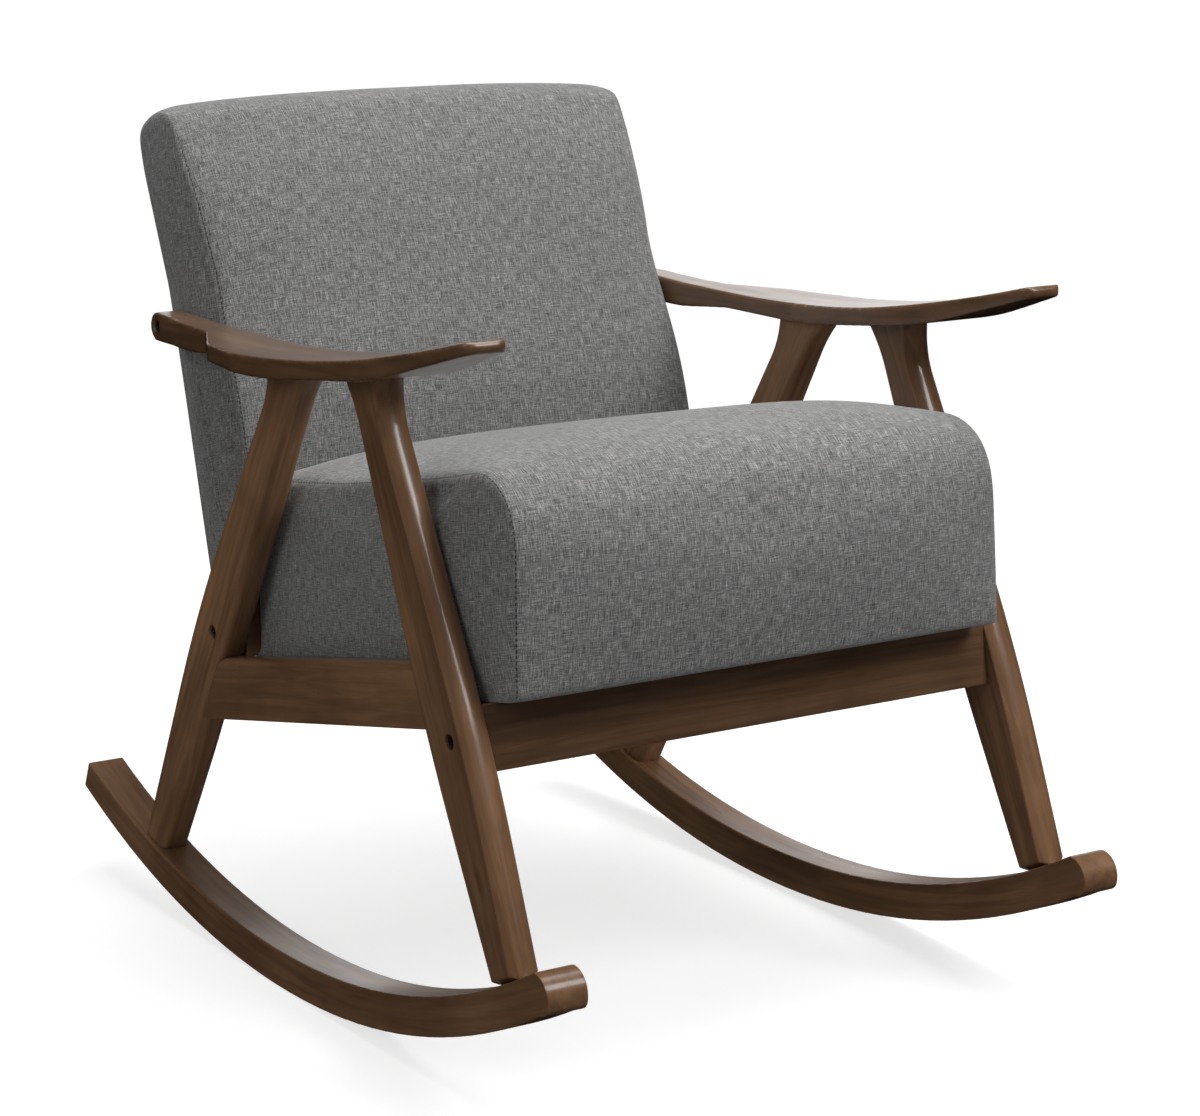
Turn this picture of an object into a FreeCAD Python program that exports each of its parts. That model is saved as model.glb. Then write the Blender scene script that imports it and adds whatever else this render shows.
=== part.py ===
"""Rocking chair: exposed wooden frame with an upholstered seat and back.

Frame of the model: +Z up, the floor at z = 0, the chair faces -Y, and X = 0 is its mirror plane.
The origin lies on the floor under the middle of the chair. "Left" is the sitter's left, +X.
"""
import FreeCAD, Part
import os
import re
import Sketcher

Vector = FreeCAD.Vector
Rotation = FreeCAD.Rotation
Placement = FreeCAD.Placement

# ----------------------------------------------------------------------------- driving dimensions
# Lengths in mm, angles in degrees. Places in the side view are y (rearward) and z (up).
DRIVING = {
    # widths across the chair
    "half_width": 315.0, "rocker_width": 40.0, "leg_width": 30.0, "leg_inset": 5.0,
    "side_rail_width": 24.0, "joint_gap": 0.3,
    # rockers: two tangent arcs below, the same arcs raised by the thickness above
    "half_depth": 469.0, "rest_y": 26.0, "rear_radius": 1132.0, "front_radius": 977.0,
    "blend_angle": 5.56, "rocker_thickness": 37.0, "tail_thickness": 31.0, "tail_y": 470.15,
    "nose_top_y": -446.0, "nose_under_y": -458.0, "nose_face_z": 128.0, "nose_top_radius": 21.5,
    "nose_under_radius": 13.1, "rocker_edge": 2.0,
    # front legs, side view
    "front_foot_front_y": -404.0, "front_foot_rear_y": -372.0, "front_knee_y": -329.0,
    "front_knee_z": 321.0, "front_neck_z": 594.0, "front_neck_radius": 85.0, "front_top_y": -179.0,
    "front_back_y": -259.0, "front_back_z": 320.0, "front_flare_y": -139.5, "front_flare_z": 594.0,
    "front_flare_radius": 140.0, "front_top_rear_y": -111.0, "front_top_front_z": 636.0,
    "front_top_rear_z": 630.0, "front_joint_y": -151.0, "front_joint_z": 622.0,
    "long_radius": 1500.0,
    # rear legs, side view
    "rear_foot_front_y": 290.0, "rear_foot_rear_y": 326.0, "rear_knee_y": 211.0, "rear_knee_z": 193.0,
    "rear_neck_y": -16.0, "rear_neck_z": 586.0, "rear_neck_radius": 150.0, "rear_top_front_y": -47.0,
    "rear_top_rear_y": 28.0, "rear_top_z": 618.0, "rear_joint_y": -3.0, "rear_joint_z": 606.0,
    "rear_back_y": 196.0, "rear_back_z": 336.0,
    "rear_flare_y": 34.5, "rear_flare_z": 580.0, "rear_flare_radius": 90.0,
    "crown_width": 9.0, "crown_depth": 5.0, "crown_ease": 20.0, "rear_leg_round": 8.0,
    # armrests, plan
    "arm_tip_y": -359.0, "arm_tip_inner_x": 282.0, "arm_tip_outer_x": 323.0, "arm_tip_corner": 14.0,
    "arm_inner_nose_x": 271.0, "arm_inner_nose_y": -295.0, "arm_waist_x": 250.0,
    "arm_waist_y": -175.0, "arm_inner_rear_x": 268.0, "arm_inner_rear_y": 0.0,
    "arm_sweep": 300.0, "arm_tab_inner_x": 272.0, "arm_tab_outer_x": 302.0, "arm_tab_y": 303.5,
    "arm_shoulder_in_x": 307.0, "arm_shoulder_in_y": 166.0, "arm_shoulder_in_radius": 22.0,
    "arm_shoulder_out_x": 341.0, "arm_shoulder_out_y": 96.0, "arm_shoulder_out_radius": 40.0,
    "arm_hip_x": 350.0, "arm_hip_y": 30.0, "arm_outer_waist_x": 342.0, "arm_outer_waist_y": -150.0,
    "arm_outer_nose_x": 347.0, "arm_outer_nose_y": -255.0,
    # armrests, side view
    "arm_tip_top": 684.0, "arm_tip_under": 672.5, "arm_tip_round": 5.0, "arm_top_z": 623.0,
    "arm_top_bend_y": -126.0, "arm_top_bend": 1750.0, "arm_tab_top_z": 626.0, "arm_tab_under_z": 597.0,
    "arm_tab_round": 14.0, "arm_under_bend_y": -225.0, "arm_under_bend_z": 631.5,
    "arm_under_bend": 500.0, "arm_under_z": 606.0, "arm_under_start_y": -20.0,
    "arm_under_end_y": 115.0, "arm_under_sweep": 600.0, "arm_tab_start_y": 200.0,
    "arm_tab_sweep": 250.0,
    # slope of the seat, and the rails
    "seat_slope": 11.8, "seat_y": -305.5, "seat_z": 353.0, "rail_height": 60.0,
    "rail_thickness": 24.0, "side_rail_drop": 19.0, "side_rail_round": 9.0,
    "side_front_low_y": -274.0, "side_front_high_y": -249.0, "side_rear_low_y": 204.0,
    "side_rear_high_y": 170.0, "rear_rail_at": 452.0, "rear_rail_rise": 39.0,
    "rear_rail_thickness": 30.0, "cleat_width": 40.0, "cleat_start": 62.0,
    "ledger_width": 22.0, "block_size": 42.0,
    # seat, in its own sloping frame: u rearward, w up
    "seat_half_width": 272.0, "seat_depth": 420.0, "seat_foot": -42.0, "seat_nose": -76.0,
    "seat_nose_height": 130.0, "seat_lip_height": 208.0, "seat_lip_radius": 38.0,
    "seat_brow": 40.0, "seat_height": 222.0, "seat_side_height": 203.0, "seat_side_radius": 24.0,
    "crown_sweep": 2500.0, "soft_sweep": 150.0, "soft_corner": 5.0, "seat_wall": 13.0,
    "seat_frame_start": -22.0, "seat_frame_height": 110.0, "seat_frame_width": 18.0,
    "dust_cover_thickness": 1.2, "spring_room": 14.0, "spring_wire": 1.8, "spring_run": 11.0,
    "spring_bend": 7.5, "spring_spacing": 96.0, "spring_clip_width": 26.0,
    # back, in its own leaning frame: v rearward, w up
    "back_slope": 16.2, "back_y": 245.0, "back_z": 300.0, "back_half_width": 268.0,
    "back_height": 548.0, "back_side_height": 527.0, "back_foot_rise": 36.0,
    "back_seat_depth": 140.0, "back_foot_depth": 132.0, "back_seat_height": 180.0,
    "back_high_depth": 108.0, "back_high_height": 421.0, "back_top_depth": 84.0,
    "back_top_front_height": 512.0, "back_top_radius": 30.0, "back_crown_depth": 42.0,
    "back_rear_shoulder": 522.0, "back_side_radius": 32.0, "back_wall": 12.0,
    "back_panel_thickness": 5.0, "back_frame_depth": 60.0, "webbing_room": 3.0, "back_frame_width": 40.0,
    "back_frame_height": 490.0, "back_rail_height": 45.0, "back_rail_thickness": 36.0,
    "webbing_width": 50.0,
    "webbing_thickness": 2.0, "webbing_start": 70.0, "webbing_spacing": 80.0, "panel_inset": 3.0,
    "panel_drop": 24.0,
    # fasteners
    "bolt_radius": 3.0, "bolt_hole_radius": 3.6, "bolt_head_radius": 6.5, "bolt_head_height": 5.0,
    "bolt_key": 2.5, "bolt_key_depth": 3.0, "counterbore_radius": 7.6, "counterbore_depth": 8.0,
    "front_bolt_y": -300.0, "front_bolt_z": 322.0, "rear_bolt_y": 162.0, "rear_bolt_z": 324.0,
    "tab_bolt_y": 289.0, "tab_bolt_z": 611.5, "bolt_reach": 66.0, "tab_bolt_reach": 75.0,
    "barrel_radius": 5.0, "barrel_length": 16.0, "thread_past_nut": 8.0, "bush_radius": 8.0,
    "insert_radius": 5.0, "insert_length": 20.0,
    "dowel_radius": 4.0, "dowel_hole_radius": 4.2, "dowel_bury": 20.0, "arm_dowel_bury": 12.0,
    "screw_radius": 2.0, "screw_hole_radius": 2.3, "screw_head_radius": 4.0,
    "screw_head_height": 2.5, "screw_length": 40.0, "screw_front_u": 112.0, "screw_rear_u": 320.0,
    "screw_from_cleat_edge": 6.0, "back_screw_x": 226.0, "back_screw_w": 15.0,
    "back_screw_length": 88.0, "back_screw_radius": 2.5,
}

doc = FreeCAD.newDocument("rocking_chair")
sheet = doc.addObject("Spreadsheet::Sheet", "Sizes")
for row, (alias, number) in enumerate(DRIVING.items(), start=1):
    sheet.set(f"A{row}", alias)
    sheet.set(f"B{row}", str(number))
    sheet.setAlias(f"B{row}", alias)
doc.recompute()

SIDES = {"left": 1, "right": -1}
PLAN = Rotation()
SEAT_TILT = Rotation(Vector(1, 0, 0), -DRIVING["seat_slope"])
BACK_TILT = Rotation(Vector(1, 0, 0), -DRIVING["back_slope"])
ALONG_X = Rotation(Vector(0, 1, 0), 90)
NODES = []
STEEP = 0.4
UPRIGHT = 0.9
FINE = 0.01
PROBE = 2.0


def bound(text):
    """The expression, with every alias written as a cell of the sheet."""
    return re.sub(r"[a-z_]{3,}", lambda m: "Sizes." + m.group() if m.group() in DRIVING else m.group(),
                  str(text))


def value(text):
    """What the expression comes to."""
    return float(sheet.evalExpression(bound(text)))


def bind(thing, attribute, text):
    """Bind a property to the sheet."""
    thing.setExpression(attribute, bound(text))


def place(thing, x="0", y="0", z="0", turn=PLAN):
    """Put an object at a place given by three expressions."""
    thing.Placement = Placement(Vector(value(x), value(y), value(z)), turn)
    for axis, text in zip("xyz", (x, y, z)):
        bind(thing, f".Placement.Base.{axis}", text)
    return thing


def node(thing, label):
    """Name a finished piece and list it for export."""
    thing.Label = label
    NODES.append(thing)
    return thing


# ----------------------------------------------------------------------------- drawing helpers
def arc_through(start, end, radius):
    """Centre and arc of a side that turns left (positive radius) or right (negative)."""
    chord = end.sub(start)
    rise = (radius * radius - chord.Length ** 2 / 4) ** 0.5
    left = Vector(-chord.y, chord.x, 0).normalize()
    centre = start.add(chord.multiply(0.5)).add(left.multiply(rise if radius > 0 else -rise))
    first, last = (start, end) if radius > 0 else (end, start)
    angle = [Vector(1, 0, 0).getAngle(p.sub(centre)) * (1 if p.y >= centre.y else -1)
             for p in (first, last)]
    return Part.ArcOfCircle(Part.Circle(centre, Vector(0, 0, 1), abs(radius)), *angle)


def pin(sketch, geometry, point, across, up):
    """Hold one point of the sketch at a place given by two expressions."""
    for kind, text in (("DistanceX", across), ("DistanceY", up)):
        index = sketch.addConstraint(Sketcher.Constraint(kind, -1, 1, geometry, point, value(text)))
        bind(sketch, f"Constraints[{index}]", text)


def hold_radius(sketch, geometry, text):
    """Bind an arc's radius."""
    index = sketch.addConstraint(Sketcher.Constraint("Radius", geometry, abs(value(text))))
    bind(sketch, f"Constraints[{index}]", text)


def draw_arcs(sketch, path):
    """Closed outline of sharp corners (across, up[, radius]); a radius makes the side that leads
    to the corner an arc, which turns left, or right where the radius is given as ("right", r)."""
    points = [Vector(value(step[0]), value(step[1]), 0) for step in path]
    ends = []
    for k, step in enumerate(path):
        start, end = points[k - 1], points[k]
        if len(step) == 2:
            sketch.addGeometry(Part.LineSegment(start, end))
            ends.append((1, 2))
        else:
            turn = -1 if step[2][0] == "right" else 1
            sketch.addGeometry(arc_through(start, end, turn * value(step[2][1])))
            ends.append((1, 2) if turn > 0 else (2, 1))
    for k, step in enumerate(path):
        following = (k + 1) % len(path)
        sketch.addConstraint(Sketcher.Constraint("Coincident", k, ends[k][1], following,
                                                 ends[following][0]))
        pin(sketch, k, ends[k][1], step[0], step[1])
        if len(step) == 3:
            hold_radius(sketch, k, step[2][1])


def draw_rounded(sketch, path):
    """Closed straight-sided outline through corners (across, up[, radius]), each sharp or rounded."""
    corners = [Vector(value(step[0]), value(step[1]), 0) for step in path]
    count = len(path)
    entries, exits, arcs = [], [], {}
    for k, step in enumerate(path):
        corner = corners[k]
        if len(step) == 2:
            entries.append(corner)
            exits.append(corner)
            continue
        back = corners[k - 1].sub(corner).normalize()
        ahead = corners[(k + 1) % count].sub(corner).normalize()
        bisector = back.add(ahead).normalize()
        cosine = back.dot(bisector)
        radius = value(step[2])
        reach = radius * cosine / (1 - cosine ** 2) ** 0.5
        centre = corner.add(bisector.multiply(radius / (1 - cosine ** 2) ** 0.5))
        entries.append(corner.add(back.multiply(reach)))
        exits.append(corner.add(ahead.multiply(reach)))
        turns_left = back.cross(ahead).z < 0
        arcs[k] = (centre, radius, turns_left)
    for k in range(count):
        sketch.addGeometry(Part.LineSegment(exits[k - 1], entries[k]))
    arc_index = {}
    for k, (centre, radius, turns_left) in arcs.items():
        first, last = (entries[k], exits[k]) if turns_left else (exits[k], entries[k])
        angles = [Vector(1, 0, 0).getAngle(p.sub(centre)) * (1 if p.y >= centre.y else -1)
                  for p in (first, last)]
        circle = Part.Circle(centre, Vector(0, 0, 1), radius)
        arc_index[k] = (sketch.addGeometry(Part.ArcOfCircle(circle, *angles)), turns_left)
    for k, step in enumerate(path):
        following = (k + 1) % count
        if k not in arcs:
            sketch.addConstraint(Sketcher.Constraint("Coincident", k, 2, following, 1))
            pin(sketch, k, 2, step[0], step[1])
            continue
        arc, turns_left = arc_index[k]
        first, last = (1, 2) if turns_left else (2, 1)
        sketch.addConstraint(Sketcher.Constraint("Tangent", k, 2, arc, first))
        sketch.addConstraint(Sketcher.Constraint("Tangent", arc, last, following, 1))
        hold_radius(sketch, arc, step[2])
        mark = sketch.addGeometry(Part.Point(corners[k]), True)
        pin(sketch, mark, 1, step[0], step[1])
        sketch.addConstraint(Sketcher.Constraint("PointOnObject", mark, 1, k))
        sketch.addConstraint(Sketcher.Constraint("PointOnObject", mark, 1, following))


def padded(name, plane, draw, path, length):
    """PartDesign body: an outline on one of the body's own planes, padded by a length."""
    body = doc.addObject("PartDesign::Body", name)
    sketch = body.newObject("Sketcher::SketchObject", name + "_outline")
    support = next(f for f in body.Origin.OriginFeatures if f.Role == plane)
    sketch.AttachmentSupport = [(support, "")]
    sketch.MapMode = "FlatFace"
    draw(sketch, path)
    pad = body.newObject("PartDesign::Pad", name + "_pad")
    pad.Profile = sketch
    bind(pad, "Length", length)
    doc.recompute()
    return body


def soften(body, radius, wanted):
    """PartDesign fillet on the edges of the body's tip that the test accepts."""
    base = body.Tip
    edges = [f"Edge{k}" for k, edge in enumerate(base.Shape.Edges, start=1) if wanted(edge)]
    fillet = body.newObject("PartDesign::Fillet", f"{body.Name}_soft_{len(body.Group)}")
    fillet.Base = (base, edges)
    bind(fillet, "Radius", radius)
    doc.recompute()
    if not fillet.isValid() or not fillet.Shape.isValid():
        raise RuntimeError(f"{body.Name}: the fillet failed")
    return fillet


def middle(edge):
    """Middle point of an edge."""
    return edge.valueAt((edge.FirstParameter + edge.LastParameter) / 2)


def cylinder(name, radius, length, x="0", y="0", z="0", turn=PLAN):
    """Part cylinder whose base centre lies at the place given."""
    rod = doc.addObject("Part::Cylinder", name)
    bind(rod, "Radius", radius)
    bind(rod, "Height", length)
    return place(rod, x, y, z, turn)


def box(name, size, at, turn=PLAN):
    """Part box from its lowest corner."""
    block = doc.addObject("Part::Box", name)
    for side, text in zip(("Length", "Width", "Height"), size):
        bind(block, side, text)
    return place(block, *at, turn)


def together(name, pieces):
    """Several separate solids in one object."""
    group = doc.addObject("Part::Compound", name)
    group.Links = pieces
    return group


def cut_away(name, base, tools):
    """The base without the tools."""
    cut = doc.addObject("Part::Cut", name)
    cut.Base = base
    cut.Tool = tools[0] if len(tools) == 1 else together(name + "_tools", tools)
    return cut


def across(side, near, width):
    """Lowest x of a piece that starts this far from the mirror plane, on either side."""
    return near if side > 0 else f"-(({near}) + ({width}))"


def seat_point(u, w):
    """Expressions for y and z of a point given in the seat's sloping frame."""
    return (f"seat_y + ({u}) * cos(seat_slope * 1deg) + ({w}) * sin(seat_slope * 1deg)",
            f"seat_z - ({u}) * sin(seat_slope * 1deg) + ({w}) * cos(seat_slope * 1deg)")


def back_point(v, w):
    """Expressions for y and z of a point given in the back's leaning frame."""
    return (f"back_y + ({v}) * cos(back_slope * 1deg) + ({w}) * sin(back_slope * 1deg)",
            f"back_z - ({v}) * sin(back_slope * 1deg) + ({w}) * cos(back_slope * 1deg)")


def seat_box(name, size, u, w, x):
    """Box along the seat's slope: its lowest corner is at x, u, w."""
    return box(name, size, (x, *seat_point(u, w)), SEAT_TILT)


def back_box(name, size, v, w, x):
    """Box along the back's lean: its lowest corner is at x, v, w."""
    return box(name, size, (x, *back_point(v, w)), BACK_TILT)


# ----------------------------------------------------------------------------- rocker geometry
BLEND_SIN = "sin(blend_angle * 1deg)"
BLEND_COS = "cos(blend_angle * 1deg)"
BLEND_Y = f"(rest_y - rear_radius * {BLEND_SIN})"
BLEND_Z = f"(rear_radius - rear_radius * {BLEND_COS})"
FRONT_Y = f"({BLEND_Y} + front_radius * {BLEND_SIN})"
FRONT_Z = f"({BLEND_Z} + front_radius * {BLEND_COS})"
TOP_BLEND_Y = f"({BLEND_Y} + rocker_thickness * {BLEND_SIN})"
TOP_BLEND_Z = f"({BLEND_Z} + rocker_thickness * {BLEND_COS})"
TAIL_RISE = "(rear_radius - sqrt(rear_radius ^ 2 - (tail_y - rest_y) ^ 2))"
TAIL_TOP_Y = "(tail_y - tail_thickness * (tail_y - rest_y) / rear_radius)"
TAIL_TOP_Z = f"({TAIL_RISE} + tail_thickness * (rear_radius - {TAIL_RISE}) / rear_radius)"
TOP_RUN_Y = f"({TAIL_TOP_Y} - {TOP_BLEND_Y})"
TOP_RUN_Z = f"({TAIL_TOP_Z} - {TOP_BLEND_Z})"
TOP_REAR_RADIUS = (f"(({TOP_RUN_Y} ^ 2 + {TOP_RUN_Z} ^ 2) / "
                   f"(2 * ({TOP_RUN_Y} * {BLEND_SIN} + {TOP_RUN_Z} * {BLEND_COS})))")


def under_front(y):
    """Height of the rocker's underside ahead of the blend."""
    return f"({FRONT_Z} - sqrt(front_radius ^ 2 - (({y}) - {FRONT_Y}) ^ 2))"


def top_front(y):
    """Height of the rocker's top ahead of the blend."""
    return f"({FRONT_Z} - sqrt((front_radius - rocker_thickness) ^ 2 - (({y}) - {FRONT_Y}) ^ 2))"


def top_rear(y):
    """Height of the rocker's top behind the blend."""
    centre_y = f"({TOP_BLEND_Y} + {TOP_REAR_RADIUS} * {BLEND_SIN})"
    centre_z = f"({TOP_BLEND_Z} + {TOP_REAR_RADIUS} * {BLEND_COS})"
    return f"({centre_z} - sqrt({TOP_REAR_RADIUS} ^ 2 - (({y}) - {centre_y}) ^ 2))"


# ----------------------------------------------------------------------------- bolts, dowels, screws
LEG_INNER = "(half_width - leg_inset - leg_width)"
LEG_OUTER = "(half_width - leg_inset)"


def outward(side):
    """Rotation that lays a cylinder along X, pointing away from the mirror plane."""
    return ALONG_X if side > 0 else ALONG_X.inverted()


def on_side(side, distance):
    """x of a point this far from the mirror plane."""
    return f"{side} * ({distance})"


def bolt(name, side, outer, y, z, reach):
    """Socket-head bolt sunk in the outer face; its shank reaches inwards."""
    seat = f"({outer} - counterbore_depth)"
    head = cylinder(name + "_head", "bolt_head_radius", "bolt_head_height", on_side(side, seat), y, z,
                    outward(side))
    key = doc.addObject("Part::Prism", name + "_key")
    key.Polygon = 6
    bind(key, "Circumradius", "bolt_key")
    bind(key, "Height", "bolt_key_depth + 1")
    place(key, on_side(side, f"{seat} + bolt_head_height - bolt_key_depth"), y, z, outward(side))
    shank = cylinder(name + "_shank", "bolt_radius", reach, on_side(side, f"{seat} - ({reach})"), y, z,
                     outward(side))
    whole = doc.addObject("Part::Fuse", name + "_whole")
    whole.Base = head
    whole.Tool = shank
    return cut_away(name, whole, [key])


def bolt_hole(name, side, outer, y, z, reach):
    """Counterbore and clearance hole for such a bolt."""
    seat = f"({outer} - counterbore_depth)"
    return [cylinder(name + "_sink", "counterbore_radius", "counterbore_depth + 5",
                     on_side(side, seat), y, z, outward(side)),
            cylinder(name + "_hole", "bolt_hole_radius", f"({reach}) + 2",
                     on_side(side, f"{seat} - ({reach}) - 2"), y, z, outward(side))]


def dowel(name, x, y, z, bury_down, bury_up, turn=PLAN):
    """Dowel that reaches both ways from a joint, along its turned Z axis."""
    axis = turn.multVec(Vector(0, 0, 1))
    low = [f"({c}) - ({bury_down} - 1) * {a:.6f}" for c, a in zip((x, y, z), axis)]
    return cylinder(name, "dowel_radius", f"{bury_down} + {bury_up} - 2", *low, turn)


def dowel_hole(name, x, y, z, bury_down, bury_up, turn=PLAN):
    """Hole for such a dowel, one millimetre deeper at each end."""
    axis = turn.multVec(Vector(0, 0, 1))
    low = [f"({c}) - ({bury_down}) * {a:.6f}" for c, a in zip((x, y, z), axis)]
    return cylinder(name, "dowel_hole_radius", f"{bury_down} + {bury_up}", *low, turn)


FRONT_FOOT_Y = "(front_foot_front_y + front_foot_rear_y) / 2"
REAR_FOOT_Y = "(rear_foot_front_y + rear_foot_rear_y) / 2"


def leg_middle(side):
    """x of the middle of a leg's thickness."""
    return on_side(side, f"{LEG_INNER} + leg_width / 2")


def arm_joints(side):
    """Joints of both legs with the armrest: x, y, z."""
    x = leg_middle(side)
    return [(x, "front_joint_y", "front_joint_z"), (x, "rear_joint_y", "rear_joint_z")]


def foot_joints(side):
    """Joints of both legs with the rocker: x, y, z."""
    x = leg_middle(side)
    return [(x, FRONT_FOOT_Y, top_front(FRONT_FOOT_Y)), (x, REAR_FOOT_Y, top_rear(REAR_FOOT_Y))]


# ----------------------------------------------------------------------------- wooden frame
def rocker(label, side):
    """Bent runner: rounded nose in front, square tail behind."""
    path = [("-half_depth", "nose_face_z", ("left", "nose_top_radius")),
            ("nose_under_y", under_front("nose_under_y"), ("left", "nose_under_radius")),
            (BLEND_Y, BLEND_Z, ("left", "front_radius")),
            ("tail_y", TAIL_RISE, ("left", "rear_radius")),
            (TAIL_TOP_Y, TAIL_TOP_Z),
            (TOP_BLEND_Y, TOP_BLEND_Z, ("right", TOP_REAR_RADIUS)),
            ("nose_top_y", top_front("nose_top_y"), ("right", "front_radius - rocker_thickness"))]
    body = padded(label + "_body", "YZ_Plane", draw_arcs, path, "rocker_width")
    width = value("rocker_width")
    soften(body, "rocker_edge", lambda e: e.Length > width * 2
           and min(abs(middle(e).x), abs(middle(e).x - width)) < FINE)
    place(body, across(side, "half_width - rocker_width", "rocker_width"))
    holes = [dowel_hole(f"{label}_hole_{k}", *joint, "dowel_bury", "dowel_bury")
             for k, joint in enumerate(foot_joints(side))]
    return node(cut_away(label + "_cut", body, holes), label)


FRONT_LEG = [("front_foot_rear_y", top_front("front_foot_rear_y")),
             ("front_back_y", "front_back_z", "long_radius"),
             ("front_flare_y", "front_flare_z", "front_flare_radius"),
             ("front_top_rear_y", "front_top_rear_z"),
             ("front_top_y", "front_top_front_z"),
             ("front_top_y", "front_neck_z", "front_neck_radius"),
             ("front_knee_y", "front_knee_z", "long_radius"),
             ("front_foot_front_y", top_front("front_foot_front_y"))]
REAR_LEG = [("rear_foot_rear_y", top_rear("rear_foot_rear_y")),
            ("rear_back_y", "rear_back_z", "long_radius"),
            ("rear_flare_y", "rear_flare_z", "rear_flare_radius"),
            ("rear_top_rear_y", "rear_top_z"),
            ("rear_top_front_y", "rear_top_z"),
            ("rear_neck_y", "rear_neck_z", "rear_neck_radius"),
            ("rear_knee_y", "rear_knee_z", "long_radius"),
            ("rear_foot_front_y", top_rear("rear_foot_front_y"))]


ARM_VIEW = [("arm_tip_y", "arm_tip_top", "arm_tip_round"),
            ("arm_tip_y", "arm_tip_under", "arm_tip_round"),
            ("arm_under_bend_y", "arm_under_bend_z", "arm_under_bend"),
            ("arm_under_start_y", "arm_under_z", "arm_under_sweep"),
            ("arm_under_end_y", "arm_under_z", "arm_tab_sweep"),
            ("arm_tab_start_y", "arm_tab_under_z", "arm_tab_sweep"),
            ("arm_tab_y", "arm_tab_under_z", "arm_tab_round"),
            ("arm_tab_y", "arm_tab_top_z", "arm_tab_round"),
            ("arm_tab_start_y", "arm_top_z", "arm_tab_sweep"),
            ("arm_top_bend_y", "arm_top_z", "arm_top_bend")]


def arm_above(name):
    """Room of an armrest, which ends the legs below it."""
    body = padded(name, "YZ_Plane", draw_rounded, ARM_VIEW, "arm_hip_x * 2")
    return place(body, "-arm_hip_x", "0", "-joint_gap")


def is_steep(edge):
    """Whether an edge of a leg runs up rather than across."""
    return abs(edge.tangentAt(edge.FirstParameter).z) > STEEP


def from_flank(edge, box):
    """Distance of an edge's middle from the nearer flank of a leg."""
    x = middle(edge).x
    return min(x - box.XMin, box.XMax - x)


def front_edges(body):
    """Test for the steep edges along the front of a leg."""
    whole = body.Tip.Shape.copy()
    box = whole.BoundBox

    def wanted(edge):
        at = middle(edge)
        inwards = PROBE if at.x < box.Center.x else -PROBE
        ahead = at.add(Vector(inwards, -PROBE, 0))
        return from_flank(edge, box) < FINE and is_steep(edge) and not whole.isInside(ahead, FINE, True)

    return wanted


def crown_front(body):
    """Crowned front of a leg: a bevel on both sides, eased where it meets the front."""
    base = body.Tip
    wanted = front_edges(body)
    box = base.Shape.BoundBox
    bevel = body.newObject("PartDesign::Chamfer", body.Name + "_bevel")
    bevel.Base = (base, [f"Edge{k}" for k, edge in enumerate(base.Shape.Edges, start=1) if wanted(edge)])
    bevel.ChamferType = "Two distances"
    bind(bevel, "Size", "crown_width")
    bind(bevel, "Size2", "crown_depth")
    doc.recompute()
    inset = value("crown_width")
    soften(body, "crown_ease", lambda edge: is_steep(edge) and abs(from_flank(edge, box) - inset) < FINE)


def front_leg(label, side):
    """Slanted front leg: tapers to its foot and flares under the armrest."""
    body = padded(label + "_body", "YZ_Plane", draw_rounded, FRONT_LEG, "leg_width")
    crown_front(body)
    place(body, across(side, LEG_INNER, "leg_width"))
    holes = [dowel_hole(label + "_top_hole", *arm_joints(side)[0], "dowel_bury", "arm_dowel_bury"),
             dowel_hole(label + "_foot_hole", *foot_joints(side)[0], "dowel_bury", "dowel_bury")]
    holes += bolt_hole(label + "_bolt", side, LEG_OUTER, "front_bolt_y", "front_bolt_z", "bolt_reach")
    holes += [rail_dowel(label + "_rail_hole", side, "front", "hole"), arm_above(label + "_arm")]
    return node(cut_away(label + "_cut", body, holes), label)


def rear_leg(label, side):
    """Curved rear leg: leans forward to the armrest and broadens under it."""
    body = padded(label + "_body", "YZ_Plane", draw_rounded, REAR_LEG, "leg_width")
    soften(body, "rear_leg_round", front_edges(body))
    place(body, across(side, LEG_INNER, "leg_width"))
    holes = [dowel_hole(label + "_top_hole", *arm_joints(side)[1], "dowel_bury", "arm_dowel_bury"),
             dowel_hole(label + "_foot_hole", *foot_joints(side)[1], "dowel_bury", "dowel_bury")]
    holes += bolt_hole(label + "_bolt", side, LEG_OUTER, "rear_bolt_y", "rear_bolt_z", "bolt_reach")
    holes += [rail_dowel(label + "_rail_hole", side, "rear", "hole"), arm_above(label + "_arm")]
    return node(cut_away(label + "_cut", body, holes), label)


def rail_dowel(name, side, end, kind):
    """Dowel, or its hole, between a side rail and a leg, along the rail's slope."""
    low_y, high_y = f"side_{end}_low_y", f"side_{end}_high_y"
    y = f"({low_y} + {high_y}) / 2"
    z = f"{seat_height_at(y)} + (rail_height / 2 - side_rail_drop) / cos(seat_slope * 1deg)"
    x = on_side(side, f"{LEG_OUTER} - leg_inset / 10 - side_rail_width / 2")
    turn = SEAT_TILT.multiply(Rotation(Vector(1, 0, 0), -90))
    make = dowel if kind == "dowel" else dowel_hole
    return make(name, x, y, z, "dowel_bury", "dowel_bury", turn)


def seat_height_at(y):
    """Height of the seat's base plane at a place along the chair."""
    return f"(seat_z - (({y}) - seat_y) * tan(seat_slope * 1deg))"


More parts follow.
